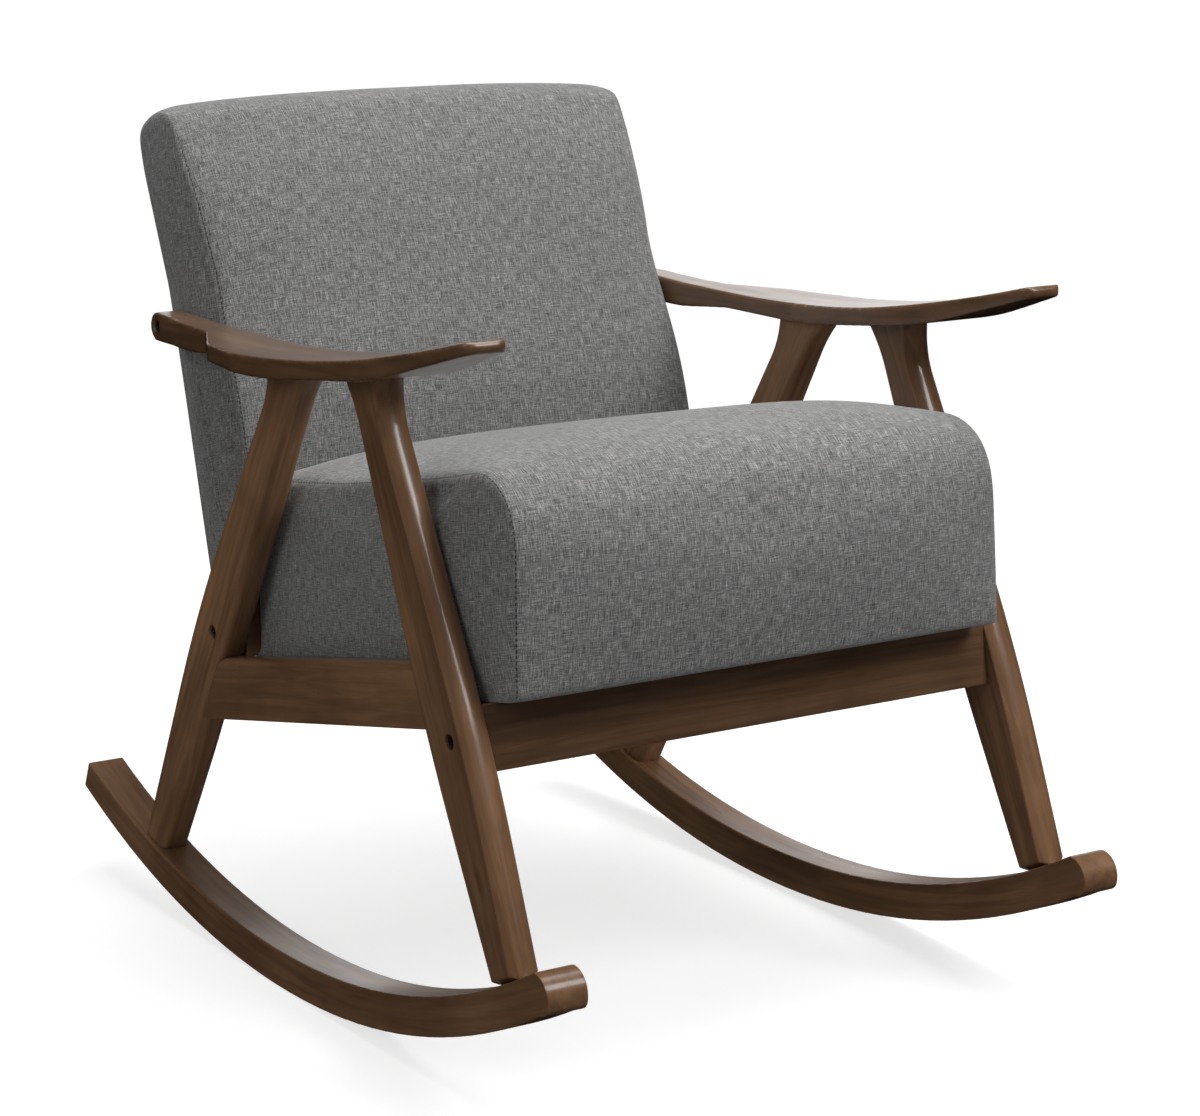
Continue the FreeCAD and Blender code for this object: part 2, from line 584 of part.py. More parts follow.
def side_rail(label, side):
    """Sloping rail between the legs, rounded along its outer top edge."""
    drop = "side_rail_drop / cos(seat_slope * 1deg)"
    rise = "(rail_height - side_rail_drop) / cos(seat_slope * 1deg)"
    path = [("side_front_low_y", f"{seat_height_at('side_front_low_y')} - {drop}"),
            ("side_rear_low_y", f"{seat_height_at('side_rear_low_y')} - {drop}"),
            ("side_rear_high_y", f"{seat_height_at('side_rear_high_y')} + {rise}"),
            ("side_front_high_y", f"{seat_height_at('side_front_high_y')} + {rise}")]
    body = padded(label + "_body", "YZ_Plane", draw_rounded, path, "side_rail_width")
    outer_x = value("side_rail_width") if side > 0 else 0.0

    def outer_top(edge):
        point = middle(edge)
        return abs(point.x - outer_x) < FINE and abs(edge.tangentAt(0).y) > UPRIGHT and \
            point.z > value(seat_height_at(point.y))

    soften(body, "side_rail_round", outer_top)
    place(body, across(side, f"{LEG_OUTER} - leg_inset / 10 - side_rail_width", "side_rail_width"))
    holes = [rail_dowel(f"{label}_{end}_hole", side, end, "hole") for end in ("front", "rear")]
    for end, outline, shift in (("front", FRONT_LEG, "joint_gap"), ("rear", REAR_LEG, "-joint_gap")):
        leg = padded(f"{label}_{end}_leg", "YZ_Plane", draw_rounded, outline, "leg_width * 2")
        place(leg, across(side, f"{LEG_INNER} - leg_width / 2", "leg_width * 2"), shift)
        holes.append(leg)
    return node(cut_away(label + "_cut", body, holes), label)


def armrest(label, side):
    """Shaped armrest: its plan and its side view, each drawn once and cut to each other."""
    s = "" if side > 0 else "-"
    plan = [("arm_tip_inner_x", "arm_tip_y", "arm_tip_corner"),
            ("arm_tip_outer_x", "arm_tip_y", "arm_tip_corner"),
            ("arm_outer_nose_x", "arm_outer_nose_y", "arm_sweep"),
            ("arm_outer_waist_x", "arm_outer_waist_y", "arm_sweep"),
            ("arm_hip_x", "arm_hip_y", "arm_shoulder_out_radius"),
            ("arm_shoulder_out_x", "arm_shoulder_out_y", "arm_shoulder_out_radius"),
            ("arm_shoulder_in_x", "arm_shoulder_in_y", "arm_shoulder_in_radius"),
            ("arm_tab_outer_x", "arm_tab_y"),
            ("arm_tab_inner_x", "arm_tab_y"),
            ("arm_inner_rear_x", "arm_inner_rear_y", "arm_sweep"),
            ("arm_waist_x", "arm_waist_y", "arm_sweep"),
            ("arm_inner_nose_x", "arm_inner_nose_y", "arm_sweep")]
    plan = [(s + step[0],) + step[1:] for step in plan]
    if side < 0:
        plan = plan[::-1]
    plan_body = padded(label + "_plan", "XY_Plane", draw_rounded, plan, "arm_tip_top + 20")
    view_body = padded(label + "_view", "YZ_Plane", draw_rounded, ARM_VIEW, "arm_hip_x * 2")
    place(view_body, "-arm_hip_x")
    blank = doc.addObject("Part::Common", label + "_blank")
    blank.Base = plan_body
    blank.Tool = view_body
    holes = [dowel_hole(f"{label}_hole_{k}", *joint, "dowel_bury", "arm_dowel_bury")
             for k, joint in enumerate(arm_joints(side))]
    holes += bolt_hole(label + "_bolt", side, "arm_tab_outer_x", "tab_bolt_y", "tab_bolt_z",
                       "tab_bolt_reach")
    return node(cut_away(label + "_cut", blank, holes), label)


def make_frame():
    """Both sides of the frame and the rails between them."""
    for name, side in SIDES.items():
        rocker("rocker_" + name, side)
        front_leg("front_leg_" + name, side)
        rear_leg("rear_leg_" + name, side)
        armrest("armrest_" + name, side)
        side_rail("side_rail_" + name, side)


def barrel_hole(name, side, y, z, outer):
    """Upright hole for a barrel nut near the end of a rail, across the bolt's hole."""
    return cylinder(name, "barrel_radius + 0.2", "barrel_length * 2", on_side(side, barrel_at(outer)), y,
                    f"({z}) - barrel_length", PLAN)


def barrel_at(outer):
    """Distance of a barrel nut from the mirror plane."""
    return f"({outer}) - counterbore_depth - bolt_reach + thread_past_nut"


def cross_rails():
    """Front and rear rails between the legs, and the ledger under the seat's rear edge."""
    width = f"{LEG_INNER} * 2"
    left = f"-{LEG_INNER}"
    front = seat_box("front_rail_blank", (width, "rail_thickness", "rail_height"), "0", "-rail_height",
                     left)
    rear = seat_box("rear_rail_blank", (width, "rear_rail_thickness", "rail_height"), "rear_rail_at",
                    "rear_rail_rise", left)
    for blank, label, y, z in ((front, "front_rail", "front_bolt_y", "front_bolt_z"),
                               (rear, "rear_rail", "rear_bolt_y", "rear_bolt_z")):
        holes = []
        for name, side in SIDES.items():
            holes.append(cylinder(f"{label}_{name}_hole", "bolt_hole_radius", "bolt_reach + 10",
                                  on_side(side, f"{LEG_OUTER} - counterbore_depth - bolt_reach - 2"),
                                  y, z, outward(side)))
            holes.append(barrel_hole(f"{label}_{name}_barrel", side, y, z, LEG_OUTER))
            if label == "rear_rail":
                holes.append(back_screw(f"{label}_{name}_screw_hole", side, "back_screw_radius + 0.2"))
        node(cut_away(label + "_cut", blank, holes), label)
    inner = f"({LEG_OUTER} - leg_inset / 10 - side_rail_width)"
    node(seat_box("seat_ledger_blank", (f"{inner} * 2", "ledger_width", "side_rail_drop"),
                  "seat_depth - ledger_width", "-side_rail_drop", f"-{inner}"), "seat_ledger")
    for name, side in SIDES.items():
        cleat = seat_box(f"seat_cleat_{name}_blank",
                         ("cleat_width", "seat_depth - ledger_width - cleat_start", "side_rail_drop"),
                         "cleat_start", "-side_rail_drop",
                         across(side, f"{inner} - cleat_width", "cleat_width"))
        holes = [seat_screw(f"cleat_{name}_hole_{k}", side, k, "screw_hole_radius")
                 for k in range(2)]
        node(cut_away(f"seat_cleat_{name}_cut", cleat, holes), f"seat_cleat_{name}")


SCREW_X = "(half_width - leg_inset * 1.1 - side_rail_width - cleat_width + screw_from_cleat_edge)"


def seat_screw(name, side, which, radius):
    """Shank, or hole, of a screw that goes up through a cleat into the seat frame."""
    u = "screw_front_u" if which == 0 else "screw_rear_u"
    y, z = seat_point(u, "-side_rail_drop - 0.2")
    return cylinder(name, radius, "screw_length + 1", on_side(side, SCREW_X), y, z, SEAT_TILT)


def screw_head(name, side, which):
    """Head of that screw, below the cleat."""
    u = "screw_front_u" if which == 0 else "screw_rear_u"
    y, z = seat_point(u, "-side_rail_drop - 0.2 - screw_head_height")
    return cylinder(name, "screw_head_radius", "screw_head_height", on_side(side, SCREW_X), y, z,
                    SEAT_TILT)


def back_screw(name, side, radius):
    """Shank, or hole, of a screw that goes through a stile into the rear rail."""
    y, z = back_point("-back_screw_length - 3", "back_screw_w")
    along = BACK_TILT.multiply(Rotation(Vector(1, 0, 0), -90))
    return cylinder(name, radius, "back_screw_length", on_side(side, "back_screw_x"), y, z, along)


def back_screw_head(name, side, radius):
    """Head of that screw, or the hole for it in the panel."""
    y, z = back_point("-3 - 0.5", "back_screw_w")
    along = BACK_TILT.multiply(Rotation(Vector(1, 0, 0), -90))
    return cylinder(name, radius, "screw_head_height", on_side(side, "back_screw_x"), y, z, along)


def corner_blocks():
    """Triangular blocks in the corners between the cleats, the front rail and the ledger."""
    inner = "(half_width - leg_inset * 1.1 - side_rail_width - cleat_width)"
    blocks = []
    for name, side in SIDES.items():
        for end, u, way in (("front", "rail_thickness", 1), ("rear", "seat_depth - ledger_width", -1)):
            body = doc.addObject("PartDesign::Body", f"block_{end}_{name}")
            path = [(f"{side} * {inner}", f"({u})"),
                    (f"{side} * ({inner} - block_size)", f"({u})"),
                    (f"{side} * {inner}", f"({u}) + {way} * block_size")]
            if side * way > 0:
                path = path[::-1]
            sketch = body.newObject("Sketcher::SketchObject", f"block_{end}_{name}_outline")
            support = next(f for f in body.Origin.OriginFeatures if f.Role == "XY_Plane")
            sketch.AttachmentSupport = [(support, "")]
            sketch.MapMode = "FlatFace"
            draw_rounded(sketch, path)
            pad = body.newObject("PartDesign::Pad", f"block_{end}_{name}_pad")
            pad.Profile = sketch
            bind(pad, "Length", "side_rail_drop")
            place(body, "0", *seat_point("0", "-side_rail_drop"), SEAT_TILT)
            blocks.append(body)
    node(together("corner_block_group", blocks), "corner_blocks")


# ----------------------------------------------------------------------------- seat
def soft_solid(name, side_path, front_path, half_width, depth):
    """Closed soft solid: a side view and a front view, each padded, and cut to each other."""
    side_body = padded(name + "_side_view", "YZ_Plane", draw_rounded, side_path, f"{half_width} * 2")
    place(side_body, f"-{half_width}")
    front_body = padded(name + "_front_view", "XZ_Plane", draw_rounded, front_path, f"{depth} * 3")
    place(front_body, "0", f"{depth} * 1.5")
    blank = doc.addObject("Part::Common", name + "_blank")
    blank.Base = side_body
    blank.Tool = front_body
    return blank


def seat_cushion():
    """Box cushion, crowned on top, hollow underneath for its frame."""
    side_path = [("seat_depth", "0", "soft_corner"),
                 ("seat_depth", "seat_height + 3", "seat_side_radius"),
                 ("seat_brow", "seat_height", "soft_sweep"),
                 ("seat_nose", "seat_lip_height", "seat_lip_radius"),
                 ("seat_nose", "seat_nose_height", "soft_sweep"),
                 ("seat_foot", "0", "soft_corner")]
    front_path = [("-seat_half_width", "0"),
                  ("seat_half_width", "0"),
                  ("seat_half_width", "seat_side_height", "seat_side_radius"),
                  ("0", "seat_height + 3", "crown_sweep"),
                  ("-seat_half_width", "seat_side_height", "seat_side_radius")]
    blank = soft_solid("seat_cushion", side_path, front_path, "seat_half_width", "seat_depth")
    hollow = box("seat_hollow", ("(seat_half_width - seat_wall) * 2",
                                 "seat_depth - seat_wall - seat_frame_start",
                                 "seat_frame_height + spring_room + 5"),
                 ("-(seat_half_width - seat_wall)", "seat_frame_start", "-5"))
    cut = cut_away("seat_cushion_cut", blank, [hollow])
    place(cut, "0", "seat_y", "seat_z", SEAT_TILT)
    node(cut, "seat_cushion")


FRAME_HALF = "(seat_half_width - seat_wall - 0.5)"
FRAME_START = "(seat_frame_start + 0.5)"
FRAME_END = "(seat_depth - seat_wall - 0.5)"


def seat_frame():
    """Four rails of the frame inside the seat, and the cover below them."""
    depth = f"({FRAME_END} - {FRAME_START})"
    rise = "dust_cover_thickness"
    tall = "seat_frame_height - dust_cover_thickness"
    for name, side in SIDES.items():
        rail = seat_box(f"seat_frame_{name}_blank", ("seat_frame_width", depth, tall), FRAME_START, rise,
                        across(side, f"{FRAME_HALF} - seat_frame_width", "seat_frame_width"))
        holes = [seat_screw(f"frame_{name}_hole_{k}", side, k, "screw_hole_radius") for k in range(2)]
        node(cut_away(f"seat_frame_{name}_cut", rail, holes), f"seat_frame_{name}")
    inner = f"({FRAME_HALF} - seat_frame_width)"
    node(seat_box("seat_frame_front_blank", (f"{inner} * 2", "seat_frame_width", tall), FRAME_START,
                  rise, f"-{inner}"), "seat_frame_front")
    node(seat_box("seat_frame_back_blank", (f"{inner} * 2", "seat_frame_width", tall),
                  f"{FRAME_END} - seat_frame_width", rise, f"-{inner}"), "seat_frame_back")
    cover = seat_box("dust_cover_blank", (f"{FRAME_HALF} * 2", depth, "dust_cover_thickness - 0.2"),
                     FRAME_START, "0", f"-{FRAME_HALF}")
    holes = [seat_screw(f"cover_{name}_hole_{k}", side, k, "screw_head_radius")
             for name, side in SIDES.items() for k in range(2)]
    node(cut_away("dust_cover_cut", cover, holes), "dust_cover")


def seat_springs():
    """Sinuous springs from the front to the back of the seat frame, and their clips."""
    wire = value("spring_wire")
    bend = value("spring_bend")
    run = value("spring_run")
    start = value(f"{FRAME_START} + seat_frame_width / 2")
    length = value(f"{FRAME_END} - seat_frame_width / 2") - start
    rise = value("seat_frame_height + spring_wire + 0.6")
    clip_width = value("spring_clip_width")
    springs, clips = [], []
    for k in range(-2, 3):
        x = k * value("spring_spacing")
        springs.append(spring_solid(x, start, length, rise, wire, bend, run))
        for y in (start, start + length):
            low = Vector(x - clip_width / 2, y - clip_width / 4, rise - wire - 0.6)
            clips.append(Part.makeBox(clip_width, clip_width / 2, 0.5, low))
            high = Vector(low.x, low.y, rise + wire + 0.2)
            clips.append(Part.makeBox(clip_width, clip_width / 2, 1.0, high))
    for label, solids in (("seat_springs", springs), ("spring_clips", clips)):
        feature = doc.addObject("Part::Feature", label)
        feature.Shape = Part.makeCompound(solids)
        place(feature, "0", "seat_y", "seat_z", SEAT_TILT)
        node(feature, label)


def spring_solid(x, start, length, rise, wire, bend, run):
    """One wire that zigzags from the front to the back: straight runs joined by half circles."""
    waves = int((length - 4 * bend) // (4 * bend)) * 2
    lead = (length - waves * 2 * bend) / 2
    y = start + lead
    edges = [Part.makeLine(Vector(x, start, rise), Vector(x, y - bend, rise)),
             quarter(Vector(x, y - bend, rise), Vector(x + bend, y, rise), 1)]
    at = Vector(x + bend, y, rise)
    way = 1
    for wave in range(waves):
        edge = Vector(x + way * run, at.y, rise)
        edges.append(Part.makeLine(at, edge))
        far = Vector(edge.x, edge.y + 2 * bend, rise)
        edges.append(Part.Arc(edge, Vector(edge.x + way * bend, edge.y + bend, rise), far).toShape())
        way = -way
        at = far
    turn = Vector(x - bend, at.y, rise)
    edges.append(Part.makeLine(at, turn))
    edges.append(quarter(turn, Vector(x, at.y + bend, rise), -1))
    edges.append(Part.makeLine(Vector(x, at.y + bend, rise), Vector(x, start + length, rise)))
    ring = Part.Wire(Part.makeCircle(wire, edges[0].firstVertex().Point, Vector(0, 1, 0)))
    return Part.Wire(edges).makePipeShell([ring], True, True, 2)


def quarter(start, end, way):
    """Quarter circle between a run along Y and a run along X."""
    bend = abs(end.x - start.x)
    diagonal = bend * 0.5 ** 0.5
    if way > 0:
        return Part.Arc(start, Vector(end.x - diagonal, start.y + diagonal, start.z), end).toShape()
    return Part.Arc(start, Vector(start.x + diagonal, end.y - diagonal, start.z), end).toShape()


# ----------------------------------------------------------------------------- back
FRAME_FRONT = "(back_panel_thickness + back_frame_depth)"
BACK_FRAME_HALF = "(back_half_width - back_wall - 0.5)"


def back_cushion():
    """Upholstered back: thick at the seat, thin at the top, open behind for its frame."""
    side_path = [("-back_panel_thickness", "0"),
                 ("-back_panel_thickness", "back_rear_shoulder", "back_top_radius"),
                 ("-back_crown_depth", "back_height + 4", "back_top_radius"),
                 ("-back_top_depth", "back_top_front_height", "back_top_radius"),
                 ("-back_high_depth", "back_high_height", "crown_sweep / 4"),
                 ("-back_seat_depth", "back_seat_height", "crown_sweep / 4"),
                 ("-back_foot_depth", "back_foot_rise", "soft_corner"),
                 (f"-{FRAME_FRONT} + 1", "back_foot_rise"),
                 (f"-{FRAME_FRONT} + 1", "0")]
    front_path = [("-back_half_width", "0"),
                  ("back_half_width", "0"),
                  ("back_half_width", "back_side_height", "back_side_radius"),
                  ("0", "back_height + 4", "crown_sweep"),
                  ("-back_half_width", "back_side_height", "back_side_radius")]
    blank = soft_solid("back_cushion", side_path, front_path, "back_half_width", "back_half_width")
    hollow = box("back_hollow", ("(back_half_width - back_wall) * 2", f"{FRAME_FRONT} + 5",
                                 "back_frame_height + 5"),
                 ("-(back_half_width - back_wall)", f"-{FRAME_FRONT}", "-5"))
    cut = cut_away("back_cushion_cut", blank, [hollow])
    place(cut, "0", "back_y", "back_z", BACK_TILT)
    holes = [cylinder(f"back_bush_hole_{name}", "bush_radius + 0.2", "back_half_width",
                      on_side(side, "back_half_width / 2"), "tab_bolt_y", "tab_bolt_z", outward(side))
             for name, side in SIDES.items()]
    node(cut_away("back_cushion_bored", cut, holes), "back_cushion")


def back_frame():
    """Frame inside the back: two stiles, three cross rails, webbing and the rear panel."""
    depth = "back_frame_depth - webbing_room"
    front = f"-{FRAME_FRONT} + webbing_room"
    for name, side in SIDES.items():
        stile = back_box(f"back_stile_{name}_blank", ("back_frame_width", depth, "back_frame_height - 1"),
                         front, "0", across(side, f"{BACK_FRAME_HALF} - back_frame_width",
                                            "back_frame_width"))
        holes = [cylinder(f"stile_{name}_hole", "bolt_hole_radius", "back_half_width",
                          on_side(side, "back_half_width / 2"), "tab_bolt_y", "tab_bolt_z",
                          outward(side)),
                 insert(f"stile_{name}_insert_hole", side, "insert_radius + 0.1", 1),
                 back_screw(f"stile_{name}_screw_hole", side, "back_screw_radius + 0.3")]
        node(cut_away(f"back_stile_{name}_cut", stile, holes), f"back_stile_{name}")
    inner = f"({BACK_FRAME_HALF} - back_frame_width)"
    levels = {"bottom": "0", "middle": "back_frame_height / 2 - back_rail_height / 2",
              "top": "back_frame_height - back_rail_height - 1"}
    for name, w in levels.items():
        thick = depth if name == "bottom" else "back_rail_thickness"
        node(back_box(f"back_rail_{name}_blank", (f"{inner} * 2", thick, "back_rail_height"), front, w,
                      f"-{inner}"), f"back_rail_{name}")
    straps = [back_box(f"back_strap_{k}", (f"{inner} * 2 + back_frame_width", "webbing_thickness",
                                           "webbing_width"),
                       f"-{FRAME_FRONT} + webbing_room - webbing_thickness",
                       f"webbing_start + {k} * webbing_spacing",
                       f"-{inner} - back_frame_width / 2")
              for k in range(5)]
    node(together("back_webbing_group", straps), "back_webbing")
    path = [("-back_half_width + panel_inset", "panel_inset"),
            ("back_half_width - panel_inset", "panel_inset"),
            ("back_half_width - panel_inset", "back_rear_shoulder - panel_drop", "back_side_radius"),
            ("-back_half_width + panel_inset", "back_rear_shoulder - panel_drop", "back_side_radius")]
    panel = padded("back_panel_body", "XZ_Plane", draw_rounded, path, "back_panel_thickness - 0.5")
    place(panel, "0", *back_point("-0.2", "0"), BACK_TILT)
    holes = [back_screw_head(f"panel_{name}_hole", side, "screw_head_radius + 0.5")
             for name, side in SIDES.items()]
    holes += [back_screw(f"panel_{name}_screw_hole", side, "back_screw_radius + 0.3")
              for name, side in SIDES.items()]
    node(cut_away("back_panel_cut", panel, holes), "back_panel")


def insert(name, side, radius, room):
    """Threaded sleeve for an armrest's bolt in a stile, or its hole with some room at its end."""
    low = f"{BACK_FRAME_HALF} - back_frame_width"
    return cylinder(name, radius, f"insert_length + {room}", on_side(side, low), "tab_bolt_y",
                    "tab_bolt_z", outward(side))


# ----------------------------------------------------------------------------- fasteners
def fasteners():
    """Bolts, barrel nuts, bushes, dowels and screws, each kind in one node."""
    places = {"front_leg_bolts": (LEG_OUTER, "front_bolt_y", "front_bolt_z", "bolt_reach"),
              "rear_leg_bolts": (LEG_OUTER, "rear_bolt_y", "rear_bolt_z", "bolt_reach"),
              "armrest_bolts": ("arm_tab_outer_x", "tab_bolt_y", "tab_bolt_z", "tab_bolt_reach")}
    for label, (outer, y, z, reach) in places.items():
        pair = [bolt(f"{label}_{name}", side, outer, y, z, reach) for name, side in SIDES.items()]
        node(together(label + "_group", pair), label)
    nuts = []
    for name, side in SIDES.items():
        for end, y, z in (("front", "front_bolt_y", "front_bolt_z"),
                          ("rear", "rear_bolt_y", "rear_bolt_z")):
            nut = cylinder(f"nut_{end}_{name}", "barrel_radius", "barrel_length",
                           on_side(side, barrel_at(LEG_OUTER)), y, f"({z}) - barrel_length / 2")
            bore = cylinder(f"nut_{end}_{name}_bore", "bolt_radius + 0.05", "barrel_radius * 4",
                            on_side(side, f"{barrel_at(LEG_OUTER)} - barrel_radius * 2"), y, z,
                            outward(side))
            nuts.append(cut_away(f"nut_{end}_{name}_cut", nut, [bore]))
    node(together("barrel_nut_group", nuts), "barrel_nuts")
    bushes = []
    for name, side in SIDES.items():
        ring = cylinder(f"bush_{name}", "bush_radius", f"arm_tab_inner_x - {BACK_FRAME_HALF} - 0.8",
                        on_side(side, f"{BACK_FRAME_HALF} + 0.2"), "tab_bolt_y", "tab_bolt_z",
                        outward(side))
        bore = cylinder(f"bush_{name}_bore", "bolt_hole_radius", "back_half_width",
                        on_side(side, "back_half_width / 2"), "tab_bolt_y", "tab_bolt_z", outward(side))
        bushes.append(cut_away(f"bush_{name}_cut", ring, [bore]))
    node(together("back_bush_group", bushes), "back_bushes")
    sleeves = []
    for name, side in SIDES.items():
        sleeve = insert(f"insert_{name}", side, "insert_radius", 0)
        bore = cylinder(f"insert_{name}_bore", "bolt_radius + 0.05", "back_half_width",
                        on_side(side, "back_half_width / 2"), "tab_bolt_y", "tab_bolt_z", outward(side))
        sleeves.append(cut_away(f"insert_{name}_cut", sleeve, [bore]))
    node(together("back_insert_group", sleeves), "back_inserts")
    arm = [dowel(f"arm_dowel_{name}_{k}", *joint, "dowel_bury", "arm_dowel_bury")
           for name, side in SIDES.items() for k, joint in enumerate(arm_joints(side))]
    node(together("armrest_dowel_group", arm), "armrest_dowels")
    foot = [dowel(f"foot_dowel_{name}_{k}", *joint, "dowel_bury", "dowel_bury")
            for name, side in SIDES.items() for k, joint in enumerate(foot_joints(side))]
    node(together("rocker_dowel_group", foot), "rocker_dowels")
    rail = [rail_dowel(f"rail_dowel_{name}_{end}", side, end, "dowel")
            for name, side in SIDES.items() for end in ("front", "rear")]
    node(together("rail_dowel_group", rail), "side_rail_dowels")
    screws = []
    for name, side in SIDES.items():
        for k in range(2):
            screws.append(joined(f"seat_screw_{name}_{k}",
                                 seat_screw(f"seat_screw_shank_{name}_{k}", side, k, "screw_radius"),
                                 screw_head(f"seat_screw_head_{name}_{k}", side, k)))
    node(together("seat_screw_group", screws), "seat_screws")
    screws = [joined(f"back_screw_{name}",
                     back_screw(f"back_screw_shank_{name}", side, "back_screw_radius"),
                     back_screw_head(f"back_screw_head_{name}", side, "screw_head_radius + 0.2"))
              for name, side in SIDES.items()]
    node(together("back_screw_group", screws), "back_screws")


def joined(name, first, second):
    """Two shapes as one solid."""
    whole = doc.addObject("Part::Fuse", name)
    whole.Base = first
    whole.Tool = second
    return whole


# ----------------------------------------------------------------------------- build and write
def check_document():
    """Stop if any object failed or any piece has no valid solid."""
    doc.recompute()
    for thing in doc.Objects:
        if any(state in ("Invalid", "Error") for state in thing.State):
            raise RuntimeError(f"{thing.Label} failed: {thing.State}")
    for thing in NODES:
        shape = thing.Shape
        if shape.isNull() or not shape.isValid() or not shape.Solids:
            raise RuntimeError(f"{thing.Label} has no valid solid")


def write_pieces():
    """One STEP file for each piece."""
    os.makedirs("parts", exist_ok=True)
    for thing in NODES:
        thing.Shape.exportStep(f"parts/{thing.Label}.step")
        print(f"{thing.Label}: {len(thing.Shape.Solids)} solid(s), {thing.Shape.Volume / 1000:.1f} cm3")


make_frame()
cross_rails()
corner_blocks()
seat_cushion()
seat_frame()
seat_springs()
back_cushion()
back_frame()
fasteners()
check_document()
write_pieces()
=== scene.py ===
"""Looks of the rocking chair: its upholstery, its stained wood, the light and the camera."""
import math
import bmesh
import bpy
import numpy as np
from mathutils import Matrix, Vector


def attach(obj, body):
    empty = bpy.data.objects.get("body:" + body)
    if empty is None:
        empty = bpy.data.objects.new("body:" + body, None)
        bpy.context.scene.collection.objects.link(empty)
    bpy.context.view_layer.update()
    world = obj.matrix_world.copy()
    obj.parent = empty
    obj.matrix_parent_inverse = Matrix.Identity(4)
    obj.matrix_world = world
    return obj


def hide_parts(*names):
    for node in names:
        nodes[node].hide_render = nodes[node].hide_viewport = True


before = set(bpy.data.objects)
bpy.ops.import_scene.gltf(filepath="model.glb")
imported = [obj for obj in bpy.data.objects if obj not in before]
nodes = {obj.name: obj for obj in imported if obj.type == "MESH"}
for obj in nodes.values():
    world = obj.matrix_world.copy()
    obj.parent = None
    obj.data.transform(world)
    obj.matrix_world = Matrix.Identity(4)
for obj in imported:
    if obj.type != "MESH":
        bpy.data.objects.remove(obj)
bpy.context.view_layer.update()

MM = 0.001
SEAT_SLOPE = math.radians(11.8)
SEAT_Y, SEAT_Z = -0.3055, 0.353
BACK_SLOPE = math.radians(16.2)
BACK_Y, BACK_Z = 0.245, 0.300


def local_frame(y, z, slope):
    """Matrix from a cushion's own frame (x across, u rearward, w up) to the row's frame."""
    return Matrix.Translation(Vector((0.0, y, z))) @ Matrix.Rotation(-slope, 4, "X")


SEAT = local_frame(SEAT_Y, SEAT_Z, SEAT_SLOPE)
BACK = local_frame(BACK_Y, BACK_Z, BACK_SLOPE)


# ----------------------------------------------------------------------------- node helpers
def new_material(name):
    mat = bpy.data.materials.new(name)
    mat.use_nodes = True
    mat.node_tree.nodes.clear()
    return mat


class Tree:
    """Short names for building a shader's nodes."""

    def __init__(self, mat):
        self.tree = mat.node_tree
        self.out = self.add("ShaderNodeOutputMaterial")
        self.shader = self.add("ShaderNodeBsdfPrincipled")
        self.link(self.shader, 0, self.out, 0)

    def add(self, kind, **values):
        made = self.tree.nodes.new(kind)
        for key, item in values.items():
            setattr(made, key, item)
        return made

    def link(self, a, ka, b, kb):
        self.tree.links.new(a.outputs[ka], b.inputs[kb])

    def feed(self, node, key, item):
        """A number, a vector or another node's output, into a socket."""
        if isinstance(item, tuple) and hasattr(item[0], "outputs"):
            self.tree.links.new(item[0].outputs[item[1]], node.inputs[key])
        else:
            node.inputs[key].default_value = item

    def math(self, operation, a, b=0.0, clamp=False):
        made = self.add("ShaderNodeMath", operation=operation, use_clamp=clamp)
        self.feed(made, 0, a)
        self.feed(made, 1, b)
        return (made, 0)

    def mapping(self, vector, scale=(1, 1, 1), rotation=(0, 0, 0), location=(0, 0, 0)):
        made = self.add("ShaderNodeMapping")
        self.feed(made, "Vector", vector)
        made.inputs["Scale"].default_value = scale
        made.inputs["Rotation"].default_value = rotation
        made.inputs["Location"].default_value = location
        return (made, 0)

    def noise(self, vector, scale, detail=3.0, rough=0.5, distortion=0.0):
        made = self.add("ShaderNodeTexNoise")
        self.feed(made, "Vector", vector)
        made.inputs["Scale"].default_value = scale
        made.inputs["Detail"].default_value = detail
        made.inputs["Roughness"].default_value = rough
        made.inputs["Distortion"].default_value = distortion
        return (made, 0)

    def ramp(self, fac, *stops):
        made = self.add("ShaderNodeValToRGB")
        self.feed(made, 0, fac)
        elements = made.color_ramp.elements
        while len(elements) < len(stops):
            elements.new(0.5)
        for element, (place, colour) in zip(elements, stops):
            element.position = place
            if isinstance(colour, (int, float)):
                colour = (colour, colour, colour)
            element.color = (*colour, 1)
        return (made, 0)

    def mix(self, fac, a, b, blend="MIX"):
        made = self.add("ShaderNodeMix", data_type="RGBA", blend_type=blend)
        self.feed(made, 0, fac)
        for key, item in ((6, a), (7, b)):
            if isinstance(item, tuple) and not hasattr(item[0], "outputs") and len(item) == 3:
                item = (*item, 1)
            self.feed(made, key, item)
        return (made, 2)

    def bump(self, height, strength, distance, normal=None):
        made = self.add("ShaderNodeBump")
        self.feed(made, "Height", height)
        made.inputs["Strength"].default_value = strength
        made.inputs["Distance"].default_value = distance
        if normal:
            self.feed(made, "Normal", normal)
        return (made, 0)


# ----------------------------------------------------------------------------- wood
STAIN_DARK = (0.098, 0.049, 0.0235)
STAIN_MID = (0.185, 0.098, 0.050)
STAIN_WARM = (0.270, 0.143, 0.070)
KNOT = (0.03, 0.015, 0.009)
# Lighter warm colour for the rounded edges: a painted highlight along the arrises.
PAINTED_EDGE_GLINT = (0.36, 0.15, 0.06)
EDGE_RADIUS = 0.003


